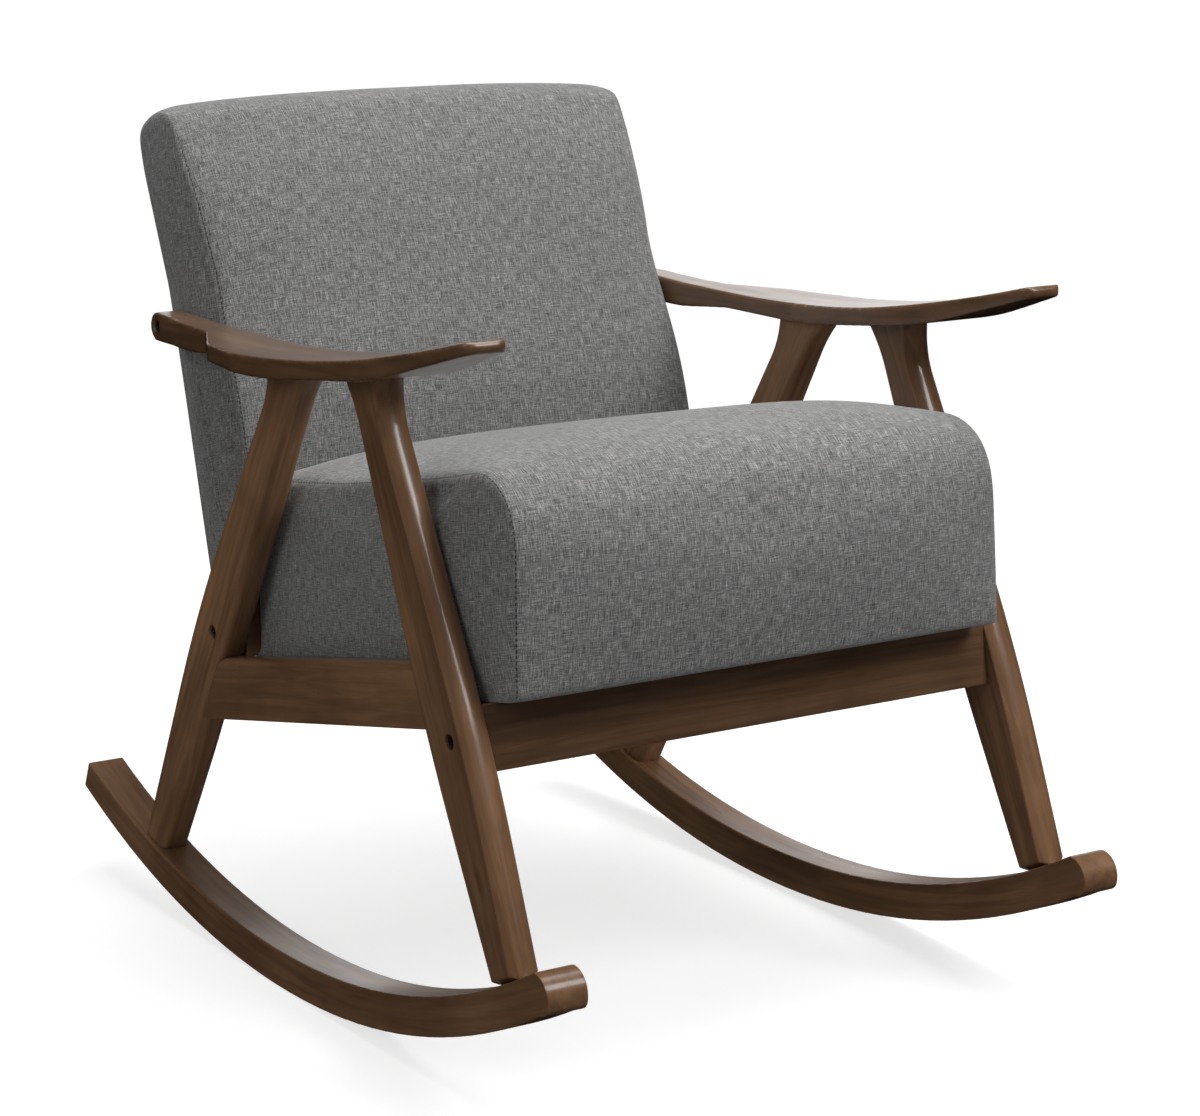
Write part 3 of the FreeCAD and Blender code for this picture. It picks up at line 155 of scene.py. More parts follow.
def wood(name, along, seed, tone=1.0, bend=None, gloss=0.3, satin=0.16):
    """Dark stained wood. along is the direction of the grain; a bend (centre y, z) wraps it round X."""
    mat = new_material(name)
    t = Tree(mat)
    at = (t.add("ShaderNodeTexCoord"), 3)
    if bend:
        split = t.add("ShaderNodeSeparateXYZ")
        t.feed(split, 0, at)
        dy = t.math("SUBTRACT", (split, 1), bend[0])
        dz = t.math("SUBTRACT", bend[1], (split, 2))
        angle = t.math("ARCTAN2", dy, dz)
        reach = t.math("SQRT", t.math("ADD", t.math("MULTIPLY", dy, dy), t.math("MULTIPLY", dz, dz)))
        join = t.add("ShaderNodeCombineXYZ")
        t.feed(join, 0, t.math("MULTIPLY", angle, bend[1]))
        t.feed(join, 1, (split, 0))
        t.feed(join, 2, reach)
        at = (join, 0)
    else:
        turn = Vector(along).normalized().rotation_difference(Vector((1, 0, 0))).to_euler()
        at = t.mapping(at, rotation=tuple(turn))
    at = t.mapping(at, location=(seed * 1.7, seed * 0.61, seed * 0.37))
    broad = t.noise(t.mapping(at, scale=(2.2, 14, 14)), 1.0, 4, 0.55, 0.6)
    wave = t.noise(t.mapping(at, scale=(5, 90, 90)), 1.0, 5, 0.5, 1.1)
    fine = t.noise(t.mapping(at, scale=(28, 900, 900)), 1.0, 2, 0.6)
    blotch = t.noise(at, 9.0, 3, 0.6)
    knots = t.noise(t.mapping(at, scale=(7, 16, 16)), 1.0, 0, 0.5)
    dark, mid, warm = (tuple(c * tone for c in stain) for stain in (STAIN_DARK, STAIN_MID, STAIN_WARM))
    colour = t.ramp(broad, (0.28, dark), (0.5, mid), (0.74, warm))
    colour = t.mix(0.4, colour, t.ramp(wave, (0.35, dark), (0.62, warm)))
    colour = t.mix(t.ramp(fine, (0.3, 0.3), (0.46, 0.0)), colour, dark)
    colour = t.mix(t.ramp(blotch, (0.35, 0.35), (0.6, 0.0)), colour, tuple(c * 0.8 for c in dark))
    colour = t.mix(t.ramp(knots, (0.17, 0.6), (0.215, 0.0)), colour, KNOT)
    soft = t.add("ShaderNodeBevel", samples=4)
    soft.inputs["Radius"].default_value = EDGE_RADIUS
    geometry = t.add("ShaderNodeNewGeometry")
    lean = t.add("ShaderNodeVectorMath", operation="DOT_PRODUCT")
    t.feed(lean, 0, (soft, 0))
    t.feed(lean, 1, (geometry, 1))
    # Where the bevelled normal leans away from the face's own, the colour turns lighter and warmer: a
    # painted highlight on the rounded edges.
    edge = t.ramp((lean, 1), (0.72, 0.75), (0.97, 0.0))
    colour = t.mix(edge, colour, PAINTED_EDGE_GLINT)
    t.feed(t.shader, "Base Color", colour)
    streaks = t.noise(t.mapping(at, scale=(8, 60, 60)), 1.0, 3)
    t.feed(t.shader, "Roughness", t.ramp(streaks, (0.3, 0.27), (0.7, 0.4)))
    t.shader.inputs["Coat Weight"].default_value = gloss
    t.shader.inputs["Coat Roughness"].default_value = satin
    t.shader.inputs["Specular IOR Level"].default_value = 0.3
    t.feed(t.shader, "Normal", t.bump(t.mix(0.5, fine, wave), 0.12, 0.0004, (soft, 0)))
    return mat


ROCKER_CENTRE = (0.026, 1.132)
WOODS = {
    "rocker": dict(along=(0, 1, 0), bend=ROCKER_CENTRE),
    "front_leg": dict(along=(0, 0.45, 0.9), tone=1.1, gloss=0.45, satin=0.13),
    # The rear legs' tone of 1.3 is painted light: their stain lifted where the armrests shade them.
    "rear_leg": dict(along=(0, -0.5, 0.86), tone=1.3),
    "armrest": dict(along=(0, 1, -0.05), tone=0.7, gloss=0.8, satin=0.28),
    "side_rail": dict(along=(0, 1, -0.21), tone=1.1),
    # The front rail's tone of 0.66 is painted shade: its stain darkened for the shadow under the seat's
    # overhang.
    "front_rail": dict(along=(1, 0, 0), tone=0.66),
    "rear_rail": dict(along=(1, 0, 0)),
}


def give(node, mat):
    """One material for the whole of a CAD node."""
    data = nodes[node].data
    data.materials.clear()
    data.materials.append(mat)
    for face in data.polygons:
        face.material_index = 0


for count, node in enumerate(sorted(nodes)):
    for kind, values in WOODS.items():
        if node.startswith(kind):
            give(node, wood("stained_wood_" + node, seed=count + 1.0, **values))


def raw_wood(name, along, seed, light=(0.62, 0.45, 0.27), dark=(0.42, 0.28, 0.15)):
    """Plain unfinished wood for what the upholstery hides."""
    mat = new_material(name)
    t = Tree(mat)
    turn = Vector(along).normalized().rotation_difference(Vector((1, 0, 0))).to_euler()
    at = t.mapping((t.add("ShaderNodeTexCoord"), 3), rotation=tuple(turn), location=(seed, seed * 0.3, 0))
    grain = t.noise(t.mapping(at, scale=(6, 110, 110)), 1.0, 5, 0.55, 0.8)
    fine = t.noise(t.mapping(at, scale=(30, 900, 900)), 1.0, 2)
    colour = t.ramp(grain, (0.3, dark), (0.65, light))
    colour = t.mix(t.ramp(fine, (0.35, 0.4), (0.5, 0.0)), colour, dark)
    t.feed(t.shader, "Base Color", colour)
    t.feed(t.shader, "Roughness", t.ramp(fine, (0.3, 0.62), (0.7, 0.8)))
    t.feed(t.shader, "Normal", t.bump(fine, 0.25, 0.0005))
    return mat


for count, (node, along) in enumerate([
        ("seat_ledger", (1, 0, 0)), ("seat_cleat_left", (0, 1, -0.21)), ("seat_cleat_right", (0, 1, -0.21)),
        ("corner_blocks", (1, 0.2, 0)), ("seat_frame_left", (0, 1, -0.21)),
        ("seat_frame_right", (0, 1, -0.21)), ("seat_frame_front", (1, 0, 0)),
        ("seat_frame_back", (1, 0, 0)), ("back_stile_left", (0, 0.28, 0.96)),
        ("back_stile_right", (0, 0.28, 0.96)), ("back_rail_bottom", (1, 0, 0)),
        ("back_rail_middle", (1, 0, 0)), ("back_rail_top", (1, 0, 0))]):
    give(node, raw_wood("raw_wood_" + node, along, count + 0.5))
for count, (node, along) in enumerate([("armrest_dowels", (0, 0, 1)), ("rocker_dowels", (0, 0, 1)),
                                       ("side_rail_dowels", (0, 1, -0.21))]):
    give(node, raw_wood("beech_" + node, along, count + 9.5, (0.7, 0.52, 0.33), (0.55, 0.38, 0.22)))


# ----------------------------------------------------------------------------- metal, plastic, cover
SCRATCH_DEPTH = 0.0002


def metal(name, colour, rough, metallic=1.0):
    """Worn metal, plated or blackened."""
    mat = new_material(name)
    t = Tree(mat)
    at = (t.add("ShaderNodeTexCoord"), 3)
    spots = t.noise(at, 420, 4, 0.6)
    lines = t.noise(t.mapping(at, scale=(2200, 260, 260)), 1.0, 2)
    t.feed(t.shader, "Base Color", t.mix(t.ramp(spots, (0.35, 0.0), (0.75, 0.5)), colour,
                                         tuple(min(1.0, c * 1.6 + 0.02) for c in colour)))
    t.shader.inputs["Metallic"].default_value = metallic
    t.feed(t.shader, "Roughness", t.ramp(spots, (0.3, rough), (0.7, rough + 0.2)))
    t.feed(t.shader, "Normal", t.bump(lines, 0.2, SCRATCH_DEPTH))
    return mat


black = metal("black_oxide", (0.10, 0.11, 0.11), 0.3)
zinc = metal("zinc_plate", (0.55, 0.55, 0.53), 0.3)
wire = metal("spring_wire", (0.3, 0.3, 0.31), 0.32)
for node in ("front_leg_bolts", "rear_leg_bolts", "armrest_bolts"):
    give(node, black)
for node in ("barrel_nuts", "back_inserts", "seat_screws", "back_screws"):
    give(node, zinc)
for node in ("seat_springs", "spring_clips"):
    give(node, wire)
give("back_bushes", metal("bush_plastic", (0.03, 0.03, 0.03), 0.5, 0.0))


def felt(name, colour, lighter):
    """Thin non-woven cloth with pressed dots."""
    mat = new_material(name)
    t = Tree(mat)
    at = t.mapping((t.add("ShaderNodeTexCoord"), 3), rotation=(SEAT_SLOPE, 0, 0))
    fibres = t.noise(t.mapping(at, scale=(1, 1, 0.2)), 900, 4, 0.7)
    dots = t.add("ShaderNodeTexVoronoi")
    t.feed(dots, "Vector", t.mapping(at, scale=(1, 1, 0.001)))
    dots.inputs["Scale"].default_value = 420
    dots.inputs["Randomness"].default_value = 0.0
    pressed = t.ramp((dots, 0), (0.18, 0.0), (0.3, 1.0))
    t.feed(t.shader, "Base Color", t.mix(t.ramp(fibres, (0.4, 0.0), (0.7, 0.6)), colour, lighter))
    t.shader.inputs["Roughness"].default_value = 0.95
    t.feed(t.shader, "Normal", t.bump(t.mix(0.5, fibres, pressed), 0.4, 0.0005))
    return mat


give("dust_cover", felt("cover_cloth", (0.012, 0.012, 0.013), (0.04, 0.04, 0.042)))


def strap(name):
    """Woven webbing with a herringbone rib."""
    mat = new_material(name)
    t = Tree(mat)
    at = t.mapping((t.add("ShaderNodeTexCoord"), 3), rotation=(BACK_SLOPE, 0, 0))
    rib = t.add("ShaderNodeTexWave", bands_direction="DIAGONAL")
    t.feed(rib, "Vector", at)
    rib.inputs["Scale"].default_value = 260
    fibres = t.noise(at, 1500, 3)
    colour = t.mix((rib, 1), (0.5, 0.39, 0.22), (0.3, 0.22, 0.12))
    t.feed(t.shader, "Base Color", t.mix(0.3, colour, (fibres[0], 1), "SOFT_LIGHT"))
    t.shader.inputs["Roughness"].default_value = 0.85
    t.feed(t.shader, "Normal", t.bump((rib, 1), 0.5, 0.0006))
    return mat


give("back_webbing", strap("webbing"))


# ----------------------------------------------------------------------------- upholstery cloth
STITCH_PITCH = 0.0052
NO_SEAM = 0.02


def cloth(name, seed, tone=1.0):
    """Grey linen-look weave. Map "weave" holds metres along the cloth; map "seam" holds the distance
    from the nearest seam and the length along it, also in metres."""
    mat = new_material(name)
    t = Tree(mat)
    weave = t.add("ShaderNodeUVMap", uv_map="weave")
    at = t.mapping((weave, 0), location=(seed * 0.37, seed * 0.61, 0))
    warp = t.noise(t.mapping(at, scale=(1400, 70, 1)), 1.0, 2, 0.7)
    weft = t.noise(t.mapping(at, scale=(70, 1400, 1), location=(3, 7, 0)), 1.0, 2, 0.7)
    slub_a = t.noise(t.mapping(at, scale=(1150, 60, 1), location=(11, 2, 0)), 1.0, 2, 0.6)
    slub_b = t.noise(t.mapping(at, scale=(60, 1150, 1), location=(5, 19, 0)), 1.0, 2, 0.6)
    flecks = t.noise(t.mapping(at, scale=(1300, 500, 1)), 1.0, 2, 0.6)
    cloud = t.noise(t.mapping(at, scale=(16, 16, 1)), 1.0, 4, 0.6)
    deep, grey, pale, slub, fleck, haze = (tuple(c * tone for c in shade) for shade in (
        (0.047, 0.0475, 0.0475), (0.170, 0.169, 0.166), (0.385, 0.38, 0.37), (0.54, 0.53, 0.515),
        (0.020, 0.020, 0.022), (0.1, 0.1, 0.1)))
    threads = t.mix(0.45, warp, weft)
    colour = t.ramp(threads, (0.37, deep), (0.5, grey), (0.63, pale))
    colour = t.mix(t.ramp(slub_a, (0.62, 0.0), (0.7, 0.6)), colour, slub)
    colour = t.mix(t.ramp(slub_b, (0.63, 0.0), (0.71, 0.6)), colour, slub)
    colour = t.mix(t.ramp(flecks, (0.36, 0.6), (0.44, 0.0)), colour, fleck)
    colour = t.mix(t.ramp(cloud, (0.3, 0.14), (0.6, 0.0)), colour, haze)
    seam = t.add("ShaderNodeUVMap", uv_map="seam")
    split = t.add("ShaderNodeSeparateXYZ")
    t.feed(split, 0, (seam, 0))
    centimetres = t.math("MULTIPLY", (split, 0), 100.0)
    near = t.ramp(centimetres, (0.05, 1.0), (0.16, 0.0))
    # Near-black dashes along each seam at the stitch pitch: painted shade in the stitch holes.
    step = t.math("FRACT", t.math("DIVIDE", (split, 1), STITCH_PITCH))
    stitch_hole_shade = t.math("MULTIPLY", near, t.ramp(step, (0.42, 0.0), (0.5, 1.0)))
    # Darker within about a millimetre of each seam: painted shade in the seam's groove.
    seam_shade = t.ramp(centimetres, (0.0, 0.5), (0.12, 0.0))
    colour = t.mix(seam_shade, colour, (0.05, 0.05, 0.05))
    colour = t.mix(t.math("MULTIPLY", stitch_hole_shade, 0.8), colour, (0.012, 0.012, 0.012))
    t.feed(t.shader, "Base Color", colour)
    t.feed(t.shader, "Roughness", t.ramp(threads, (0.3, 0.95), (0.7, 0.82)))
    t.shader.inputs["Specular IOR Level"].default_value = 0.15
    t.shader.inputs["Sheen Weight"].default_value = 0.25
    t.shader.inputs["Sheen Roughness"].default_value = 0.5
    height = t.mix(0.5, threads, t.mix(0.5, slub_a, slub_b))
    t.feed(t.shader, "Normal", t.bump(height, 0.55, 0.0007))
    return mat


# ----------------------------------------------------------------------------- cushions
ARC_POINTS = 9


def rounded_path(corners, gap):
    """Points along an open outline of corners (across, up[, radius]), about one gap apart."""
    made = [np.array(corners[0][:2], float)]
    for before, corner, after in zip(corners, corners[1:], corners[2:]):
        at = np.array(corner[:2], float)
        if len(corner) < 3:
            made.append(at)
            continue
        back = np.array(before[:2], float) - at
        ahead = np.array(after[:2], float) - at
        back /= np.linalg.norm(back)
        ahead /= np.linalg.norm(ahead)
        bisector = (back + ahead) / np.linalg.norm(back + ahead)
        cosine = float(back @ bisector)
        sine = math.sqrt(1 - cosine ** 2)
        reach = corner[2] * cosine / sine
        centre = at + bisector * corner[2] / sine
        start, end = at + back * reach - centre, at + ahead * reach - centre
        turn = math.acos(max(-1.0, min(1.0, float(start @ end) / corner[2] ** 2)))
        for part in np.linspace(0, 1, ARC_POINTS):
            made.append(centre + (math.sin((1 - part) * turn) * start + math.sin(part * turn) * end)
                        / math.sin(turn))
    made.append(np.array(corners[-1][:2], float))
    made = np.array(made)
    lengths = np.concatenate(([0], np.cumsum(np.linalg.norm(np.diff(made, axis=0), axis=1))))
    count = max(2, int(round(lengths[-1] / gap)) + 1)
    wanted = np.linspace(0, lengths[-1], count)
    return np.stack([np.interp(wanted, lengths, made[:, k]) for k in range(2)], axis=1)


def spread(path, count):
    """The same line with this many evenly spaced points."""
    lengths = np.concatenate(([0], np.cumsum(np.linalg.norm(np.diff(path, axis=0), axis=1))))
    wanted = np.linspace(0, lengths[-1], count)
    return np.stack([np.interp(wanted, lengths, path[:, k]) for k in range(2)], axis=1), wanted


def across_steps(half, gap, fine):
    """Places across the cushion: a few close to the seams, the rest evenly spaced."""
    inner = half - sum(fine)
    edge = [half - sum(fine[:k]) for k in range(len(fine))]
    count = int(round(2 * inner / gap))
    return np.array([-e for e in edge] + list(np.linspace(-inner, inner, count + 1)) + edge[::-1])


def smoothed(field, data, rounds):
    """The field averaged over each vertex and its neighbours a few times: taut cloth, no creases."""
    ends = np.array([edge.vertices for edge in data.edges])
    degree = np.bincount(ends.ravel(), minlength=len(field)).astype(float)
    for _ in range(rounds):
        total = np.zeros_like(field)
        np.add.at(total, ends[:, 0], field[ends[:, 1]])
        np.add.at(total, ends[:, 1], field[ends[:, 0]])
        field = 0.5 * field + 0.5 * total / degree[:, None]
    return field


def seam_distance(data):
    """Each vertex's distance from the nearest seam."""
    distance = np.full(len(data.vertices), 1.0)
    layer = data.uv_layers["seam"].data
    for loop in data.loops:
        distance[loop.vertex_index] = min(distance[loop.vertex_index], layer[loop.index].uv[0])
    return distance


class Cushion:
    """Box cushion sewn from one long strip and two side panels, in metres in its own frame."""

    GAP = 0.009
    FINE = (0.0025, 0.0045, 0.007)
    RINGS = 14
    CROWN_POWER = 3.0
    RIM = 0.012
    PRESSURE = 4.0
    FRAMES = 20
    EASING = 24
    PINCH = 0.0022
    PINCH_REACH = 0.0032
    SIDE_WEAVE = 3.0
    UNDER_WEAVE = 5.0

    def __init__(self, name, frame_matrix, edge, middle, half, underside):
        self.name, self.matrix, self.half = name, frame_matrix, half
        edge_line = rounded_path(edge, self.GAP)
        self.count = len(edge_line)
        self.edge, self.edge_length = spread(edge_line, self.count)
        self.middle, _ = spread(rounded_path(middle, self.GAP), self.count)
        self.underside = underside
        self.mesh = bmesh.new()
        self.weave = self.mesh.loops.layers.uv.new("weave")
        self.seam = self.mesh.loops.layers.uv.new("seam")
        self.strip()
        for side in (1, -1):
            self.side_panel(side)
        self.bottom()
        bmesh.ops.remove_doubles(self.mesh, verts=self.mesh.verts, dist=0.0003)
        bmesh.ops.recalc_face_normals(self.mesh, faces=self.mesh.faces)

    def grid(self, points, weave, seam, flip=False):
        """Quads over a grid of points, with both maps."""
        rows, columns = len(points), len(points[0])
        verts = [[self.mesh.verts.new(p) for p in row] for row in points]
        for i in range(rows - 1):
            for j in range(columns - 1):
                corners = [(i, j), (i, j + 1), (i + 1, j + 1), (i + 1, j)]
                if flip:
                    corners = corners[::-1]
                face = self.mesh.faces.new([verts[a][b] for a, b in corners])
                face.smooth = True
                for loop, (a, b) in zip(face.loops, corners):
                    loop[self.weave].uv = weave[a][b]
                    loop[self.seam].uv = seam[a][b]

    def strip(self):
        """The long panel: up the front, over the top and down behind."""
        across = across_steps(self.half, self.GAP, self.FINE)
        points, weave, seam = [], [], []
        for k in range(self.count):
            row, row_weave, row_seam = [], [], []
            for x in across:
                crown = 1 - abs(x / self.half) ** self.CROWN_POWER
                u, w = self.edge[k] + (self.middle[k] - self.edge[k]) * crown
                row.append((x, u, w))
                row_weave.append((x, self.edge_length[k]))
                row_seam.append((min(self.half - abs(x), NO_SEAM), self.edge_length[k]))
            points.append(row)
            weave.append(row_weave)
            seam.append(row_seam)
        self.across = across
        self.grid(points, weave, seam, flip=True)

    def side_panel(self, side):
        """A side: rings from the seam to the middle."""
        start, end = self.edge[0], self.edge[-1]
        low = int(round(np.linalg.norm(end - start) / self.GAP))
        self.low = np.array([end + (start - end) * k / low for k in range(1, low)])
        outline = np.concatenate((self.edge, self.low))
        lengths = list(self.edge_length) + [None] * len(self.low)
        centre = outline.mean(axis=0)
        reach = np.linalg.norm(outline - centre, axis=1)
        steps = [0.0]
        for gap in self.FINE:
            steps.append(steps[-1] + gap)
        points, weave, seam = [], [], []
        for ring in range(len(steps) + self.RINGS):
            row, row_weave, row_seam = [], [], []
            for k in range(len(outline) + 1):
                k %= len(outline)
                if ring < len(steps):
                    inset = steps[ring] / reach[k]
                else:
                    border = steps[-1] / reach[k]
                    inset = border + (1 - border) * (ring - len(steps) + 1) / self.RINGS
                at = outline[k] + (centre - outline[k]) * min(inset, 0.985)
                row.append((side * self.half, at[0], at[1]))
                row_weave.append((at[0], at[1] + self.SIDE_WEAVE))
                length = lengths[k] if lengths[k] is not None else 0.0
                distance = inset * reach[k] if lengths[k] is not None else NO_SEAM
                row_seam.append((min(distance, NO_SEAM), length))
            points.append(row)
            weave.append(row_weave)
            seam.append(row_seam)
        self.grid(points, weave, seam, flip=side < 0)
        hub = [self.mesh.verts.new(p) for p in points[-1][:-1]]
        face = self.mesh.faces.new(hub if side > 0 else hub[::-1])
        for loop in face.loops:
            loop[self.weave].uv = (loop.vert.co.y, loop.vert.co.z + self.SIDE_WEAVE)
            loop[self.seam].uv = (NO_SEAM, 0.0)

    def bottom(self):
        """The underside, where the cloth is turned in and held."""
        rows = [self.edge[0]] + list(self.low[::-1]) + [self.edge[-1]]
        points, weave, seam = [], [], []
        for k, (u, w) in enumerate(rows):
            row, row_weave, row_seam = [], [], []
            for x in self.across:
                crown = 1 - abs(x / self.half) ** self.CROWN_POWER
                place = np.array((u, w))
                if k == 0:
                    place = self.edge[0] + (self.middle[0] - self.edge[0]) * crown
                if k == len(rows) - 1:
                    place = self.edge[-1] + (self.middle[-1] - self.edge[-1]) * crown
                rim = min(self.half - abs(x), k * self.GAP, (len(rows) - 1 - k) * self.GAP)
                lift = self.underside if rim > self.RIM else 0.0
                row.append((x, place[0], place[1] + lift))
                row_weave.append((x, self.UNDER_WEAVE + u))
                row_seam.append((NO_SEAM, 0.0))
            points.append(row)
            weave.append(row_weave)
            seam.append(row_seam)
        self.grid(points, weave, seam)

    def finish(self, mat, held, cap, limit):
        """The sewn cover filled out by a cloth simulation, then pulled in along its seams."""
        data = bpy.data.meshes.new(self.name)
        self.mesh.to_mesh(data)
        self.mesh.free()
        made = bpy.data.objects.new(self.name, data)
        bpy.context.scene.collection.objects.link(made)
        rest = np.array([v.co for v in data.vertices])
        group = made.vertex_groups.new(name="held")
        for k, point in enumerate(rest):
            weight = held(point)
            if weight > 0:
                group.add([k], weight, "REPLACE")
        cloth_settings = made.modifiers.new("filling", "CLOTH")
        settings = cloth_settings.settings
        settings.quality = 5
        settings.mass = 0.25
        settings.tension_stiffness = 60
        settings.compression_stiffness = 60
        settings.shear_stiffness = 30
        settings.bending_stiffness = 4
        settings.use_pressure = True
        settings.uniform_pressure_force = self.PRESSURE
        settings.vertex_group_mass = "held"
        settings.effector_weights.gravity = 0
        cloth_settings.collision_settings.use_collision = False
        for step in range(1, self.FRAMES + 1):
            bpy.context.scene.frame_set(step)
        graph = bpy.context.evaluated_depsgraph_get()
        swollen = made.evaluated_get(graph).to_mesh()
        moved = np.array([v.co for v in swollen.vertices]) - rest
        made.evaluated_get(graph).to_mesh_clear()
        made.modifiers.remove(cloth_settings)
        bpy.context.scene.frame_set(1)
        length = np.linalg.norm(moved, axis=1)
        moved *= (cap * np.tanh(length / cap) / np.maximum(length, 1e-9))[:, None]
        rest = rest + smoothed(moved, data, self.EASING)
        data.vertices.foreach_set("co", rest.ravel())
        data.update()
        normals = np.array([v.normal for v in data.vertices])
        rest -= normals * (self.PINCH * np.exp(-(seam_distance(data) / self.PINCH_REACH) ** 2))[:, None]
        rest = np.array([limit(point) for point in rest])
        for vertex, point in zip(data.vertices, rest):
            vertex.co = point
        data.materials.append(mat)
        smooth = made.modifiers.new("finer", "SUBSURF")
        smooth.levels = smooth.render_levels = 1
        data.transform(self.matrix)
        data.update()
        return made


def scaled(corners):
    """Corners given in millimetres, in metres."""
    return [tuple(c * MM for c in corner) for corner in corners]


linen = cloth("grey_linen", 1.0)
# The back's cover and its rear panel take the seat's linen at 0.86 of its brightness: painted shade, the
# same cloth darkened.
linen_painted_shade = cloth("grey_linen_painted_shade", 4.0, 0.86)
seat_edge = scaled([(-40, 0), (-64, 130, 160), (-67, 203, 58), (60, 205, 200), (419, 212, 14), (449, 42, 5),
                    (474, 34, 5), (474, 0)])
seat_middle = scaled([(-42, 0), (-76, 130, 150), (-79, 214, 60), (60, 224, 200), (419, 225, 20),
                      (449, 42, 5), (474, 34, 5), (474, 0)])
seat_cover = Cushion("seat_cover", SEAT, seat_edge, seat_middle, 0.268, 0.002)
SEAT_SWELL = 0.010
SEAT_HELD_BELOW, SEAT_HELD_BEHIND = 0.004, 0.415


def seat_held(point):
    """The seat's cover is fastened below and rests against the back behind."""
    x, u, w = point
    return 1.0 if w < SEAT_HELD_BELOW or u > SEAT_HELD_BEHIND else 0.0


LEG_CLEAR = 0.2790
AHEAD_ROOM, AHEAD_REACH = 0.010, 0.03
LEG_Y, LEG_Z, LEG_LEAN, LEG_GAP = -0.404, 0.142, 0.42, 0.004


def seat_limit(point):
    """The sides bulge ahead of the front legs, and stay clear of legs and rails behind."""
    x, u, w = point
    y = SEAT_Y + u * math.cos(SEAT_SLOPE) + w * math.sin(SEAT_SLOPE)
    z = SEAT_Z - u * math.sin(SEAT_SLOPE) + w * math.cos(SEAT_SLOPE)
    leg_front = LEG_Y + (z - LEG_Z) * LEG_LEAN
    ahead = (leg_front - LEG_GAP - y) / AHEAD_REACH
    room = LEG_CLEAR + AHEAD_ROOM * min(max(ahead, 0.0), 1.0)
    if abs(x) > room:
        x = math.copysign(room, x)
    return (x, u, max(w, 0.0))


seat = seat_cover.finish(linen, seat_held, SEAT_SWELL, seat_limit)

back_edge = scaled([(-64, 0.3), (-64, 36), (-108, 36), (-134, 180, 500), (-101, 421, 900), (-76, 522, 34),
                    (-38, 548, 44), (-4.4, 520, 20), (-4.4, 0.3)])
back_middle = scaled([(-64, 0.3), (-64, 36), (-110, 36), (-141, 180, 500), (-109, 421, 900), (-84, 528, 36),
                      (-42, 566, 60), (-4.4, 534, 22), (-4.4, 0.3)])
back_cover = Cushion("back_cover", BACK, back_edge, back_middle, 0.264, 0.0)
BACK_SPREAD, SPREAD_START, SPREAD_REACH = 0.03, 0.355, 0.12
BACK_CORNER = 0.036
BACK_TOP = 0.548
BACK_CROWN = 0.016
BACK_REAR = -0.0044
BACK_SWELL = 0.009
BACK_HELD_BEHIND, BACK_HELD_BELOW = -0.012, 0.045
TAB_FRONT, TAB_LOW, TAB_HIGH = -0.075, 0.27, 0.35
TAB_ROOM, BACK_ROOM = 0.2712, 0.290


def back_held(point):
    """The back's cover is fastened behind and below."""
    x, v, w = point
    return 1.0 if v > BACK_HELD_BEHIND or w < BACK_HELD_BELOW else 0.0


def back_limit(point):
    """Keeps the back's cover within its room between the armrests' ends."""
    x, v, w = point
    room = TAB_ROOM if v > TAB_FRONT and TAB_LOW < w < TAB_HIGH else BACK_ROOM
    top = BACK_TOP + BACK_CROWN * (1 - min(abs(x) / back_cover.half, 1.0) ** 3)
    across = (abs(x) - back_cover.half + BACK_CORNER) / BACK_CORNER
    up = (w - top + BACK_CORNER) / BACK_CORNER
    if across > 0 and up > 0:
        x = math.copysign(back_cover.half - BACK_CORNER
                          + BACK_CORNER * across * math.sqrt(1 - min(up, 1.0) ** 2 / 2), x)
        w = top - BACK_CORNER + BACK_CORNER * up * math.sqrt(1 - min(across, 1.0) ** 2 / 2)
    x *= 1 + BACK_SPREAD * min(max((w - SPREAD_START) / SPREAD_REACH, 0.0), 1.0)
    return (math.copysign(min(abs(x), room), x), min(v, BACK_REAR), w)


back = back_cover.finish(linen_painted_shade, back_held, BACK_SWELL, back_limit)

for cover, node, fill in ((seat, "seat_cushion", 0.9), (back, "back_cushion", 0.85)):
    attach(cover, "root")
    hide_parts(node)


# ----------------------------------------------------------------------------- rear panel
PANEL_REAR, PANEL_RISE, PANEL_TURN = -0.0062, 0.0058, 0.0055
PANEL_STITCHES, STITCH_OFFSET = 0.006, 0.0012
PANEL_THICKNESS = 0.0012
REAR_WEAVE = 7.0


def eased(part):
    """Places from -1 to 1, closer together near both ends."""
    return math.sin(part * math.pi / 2) * 0.6 + part * 0.4


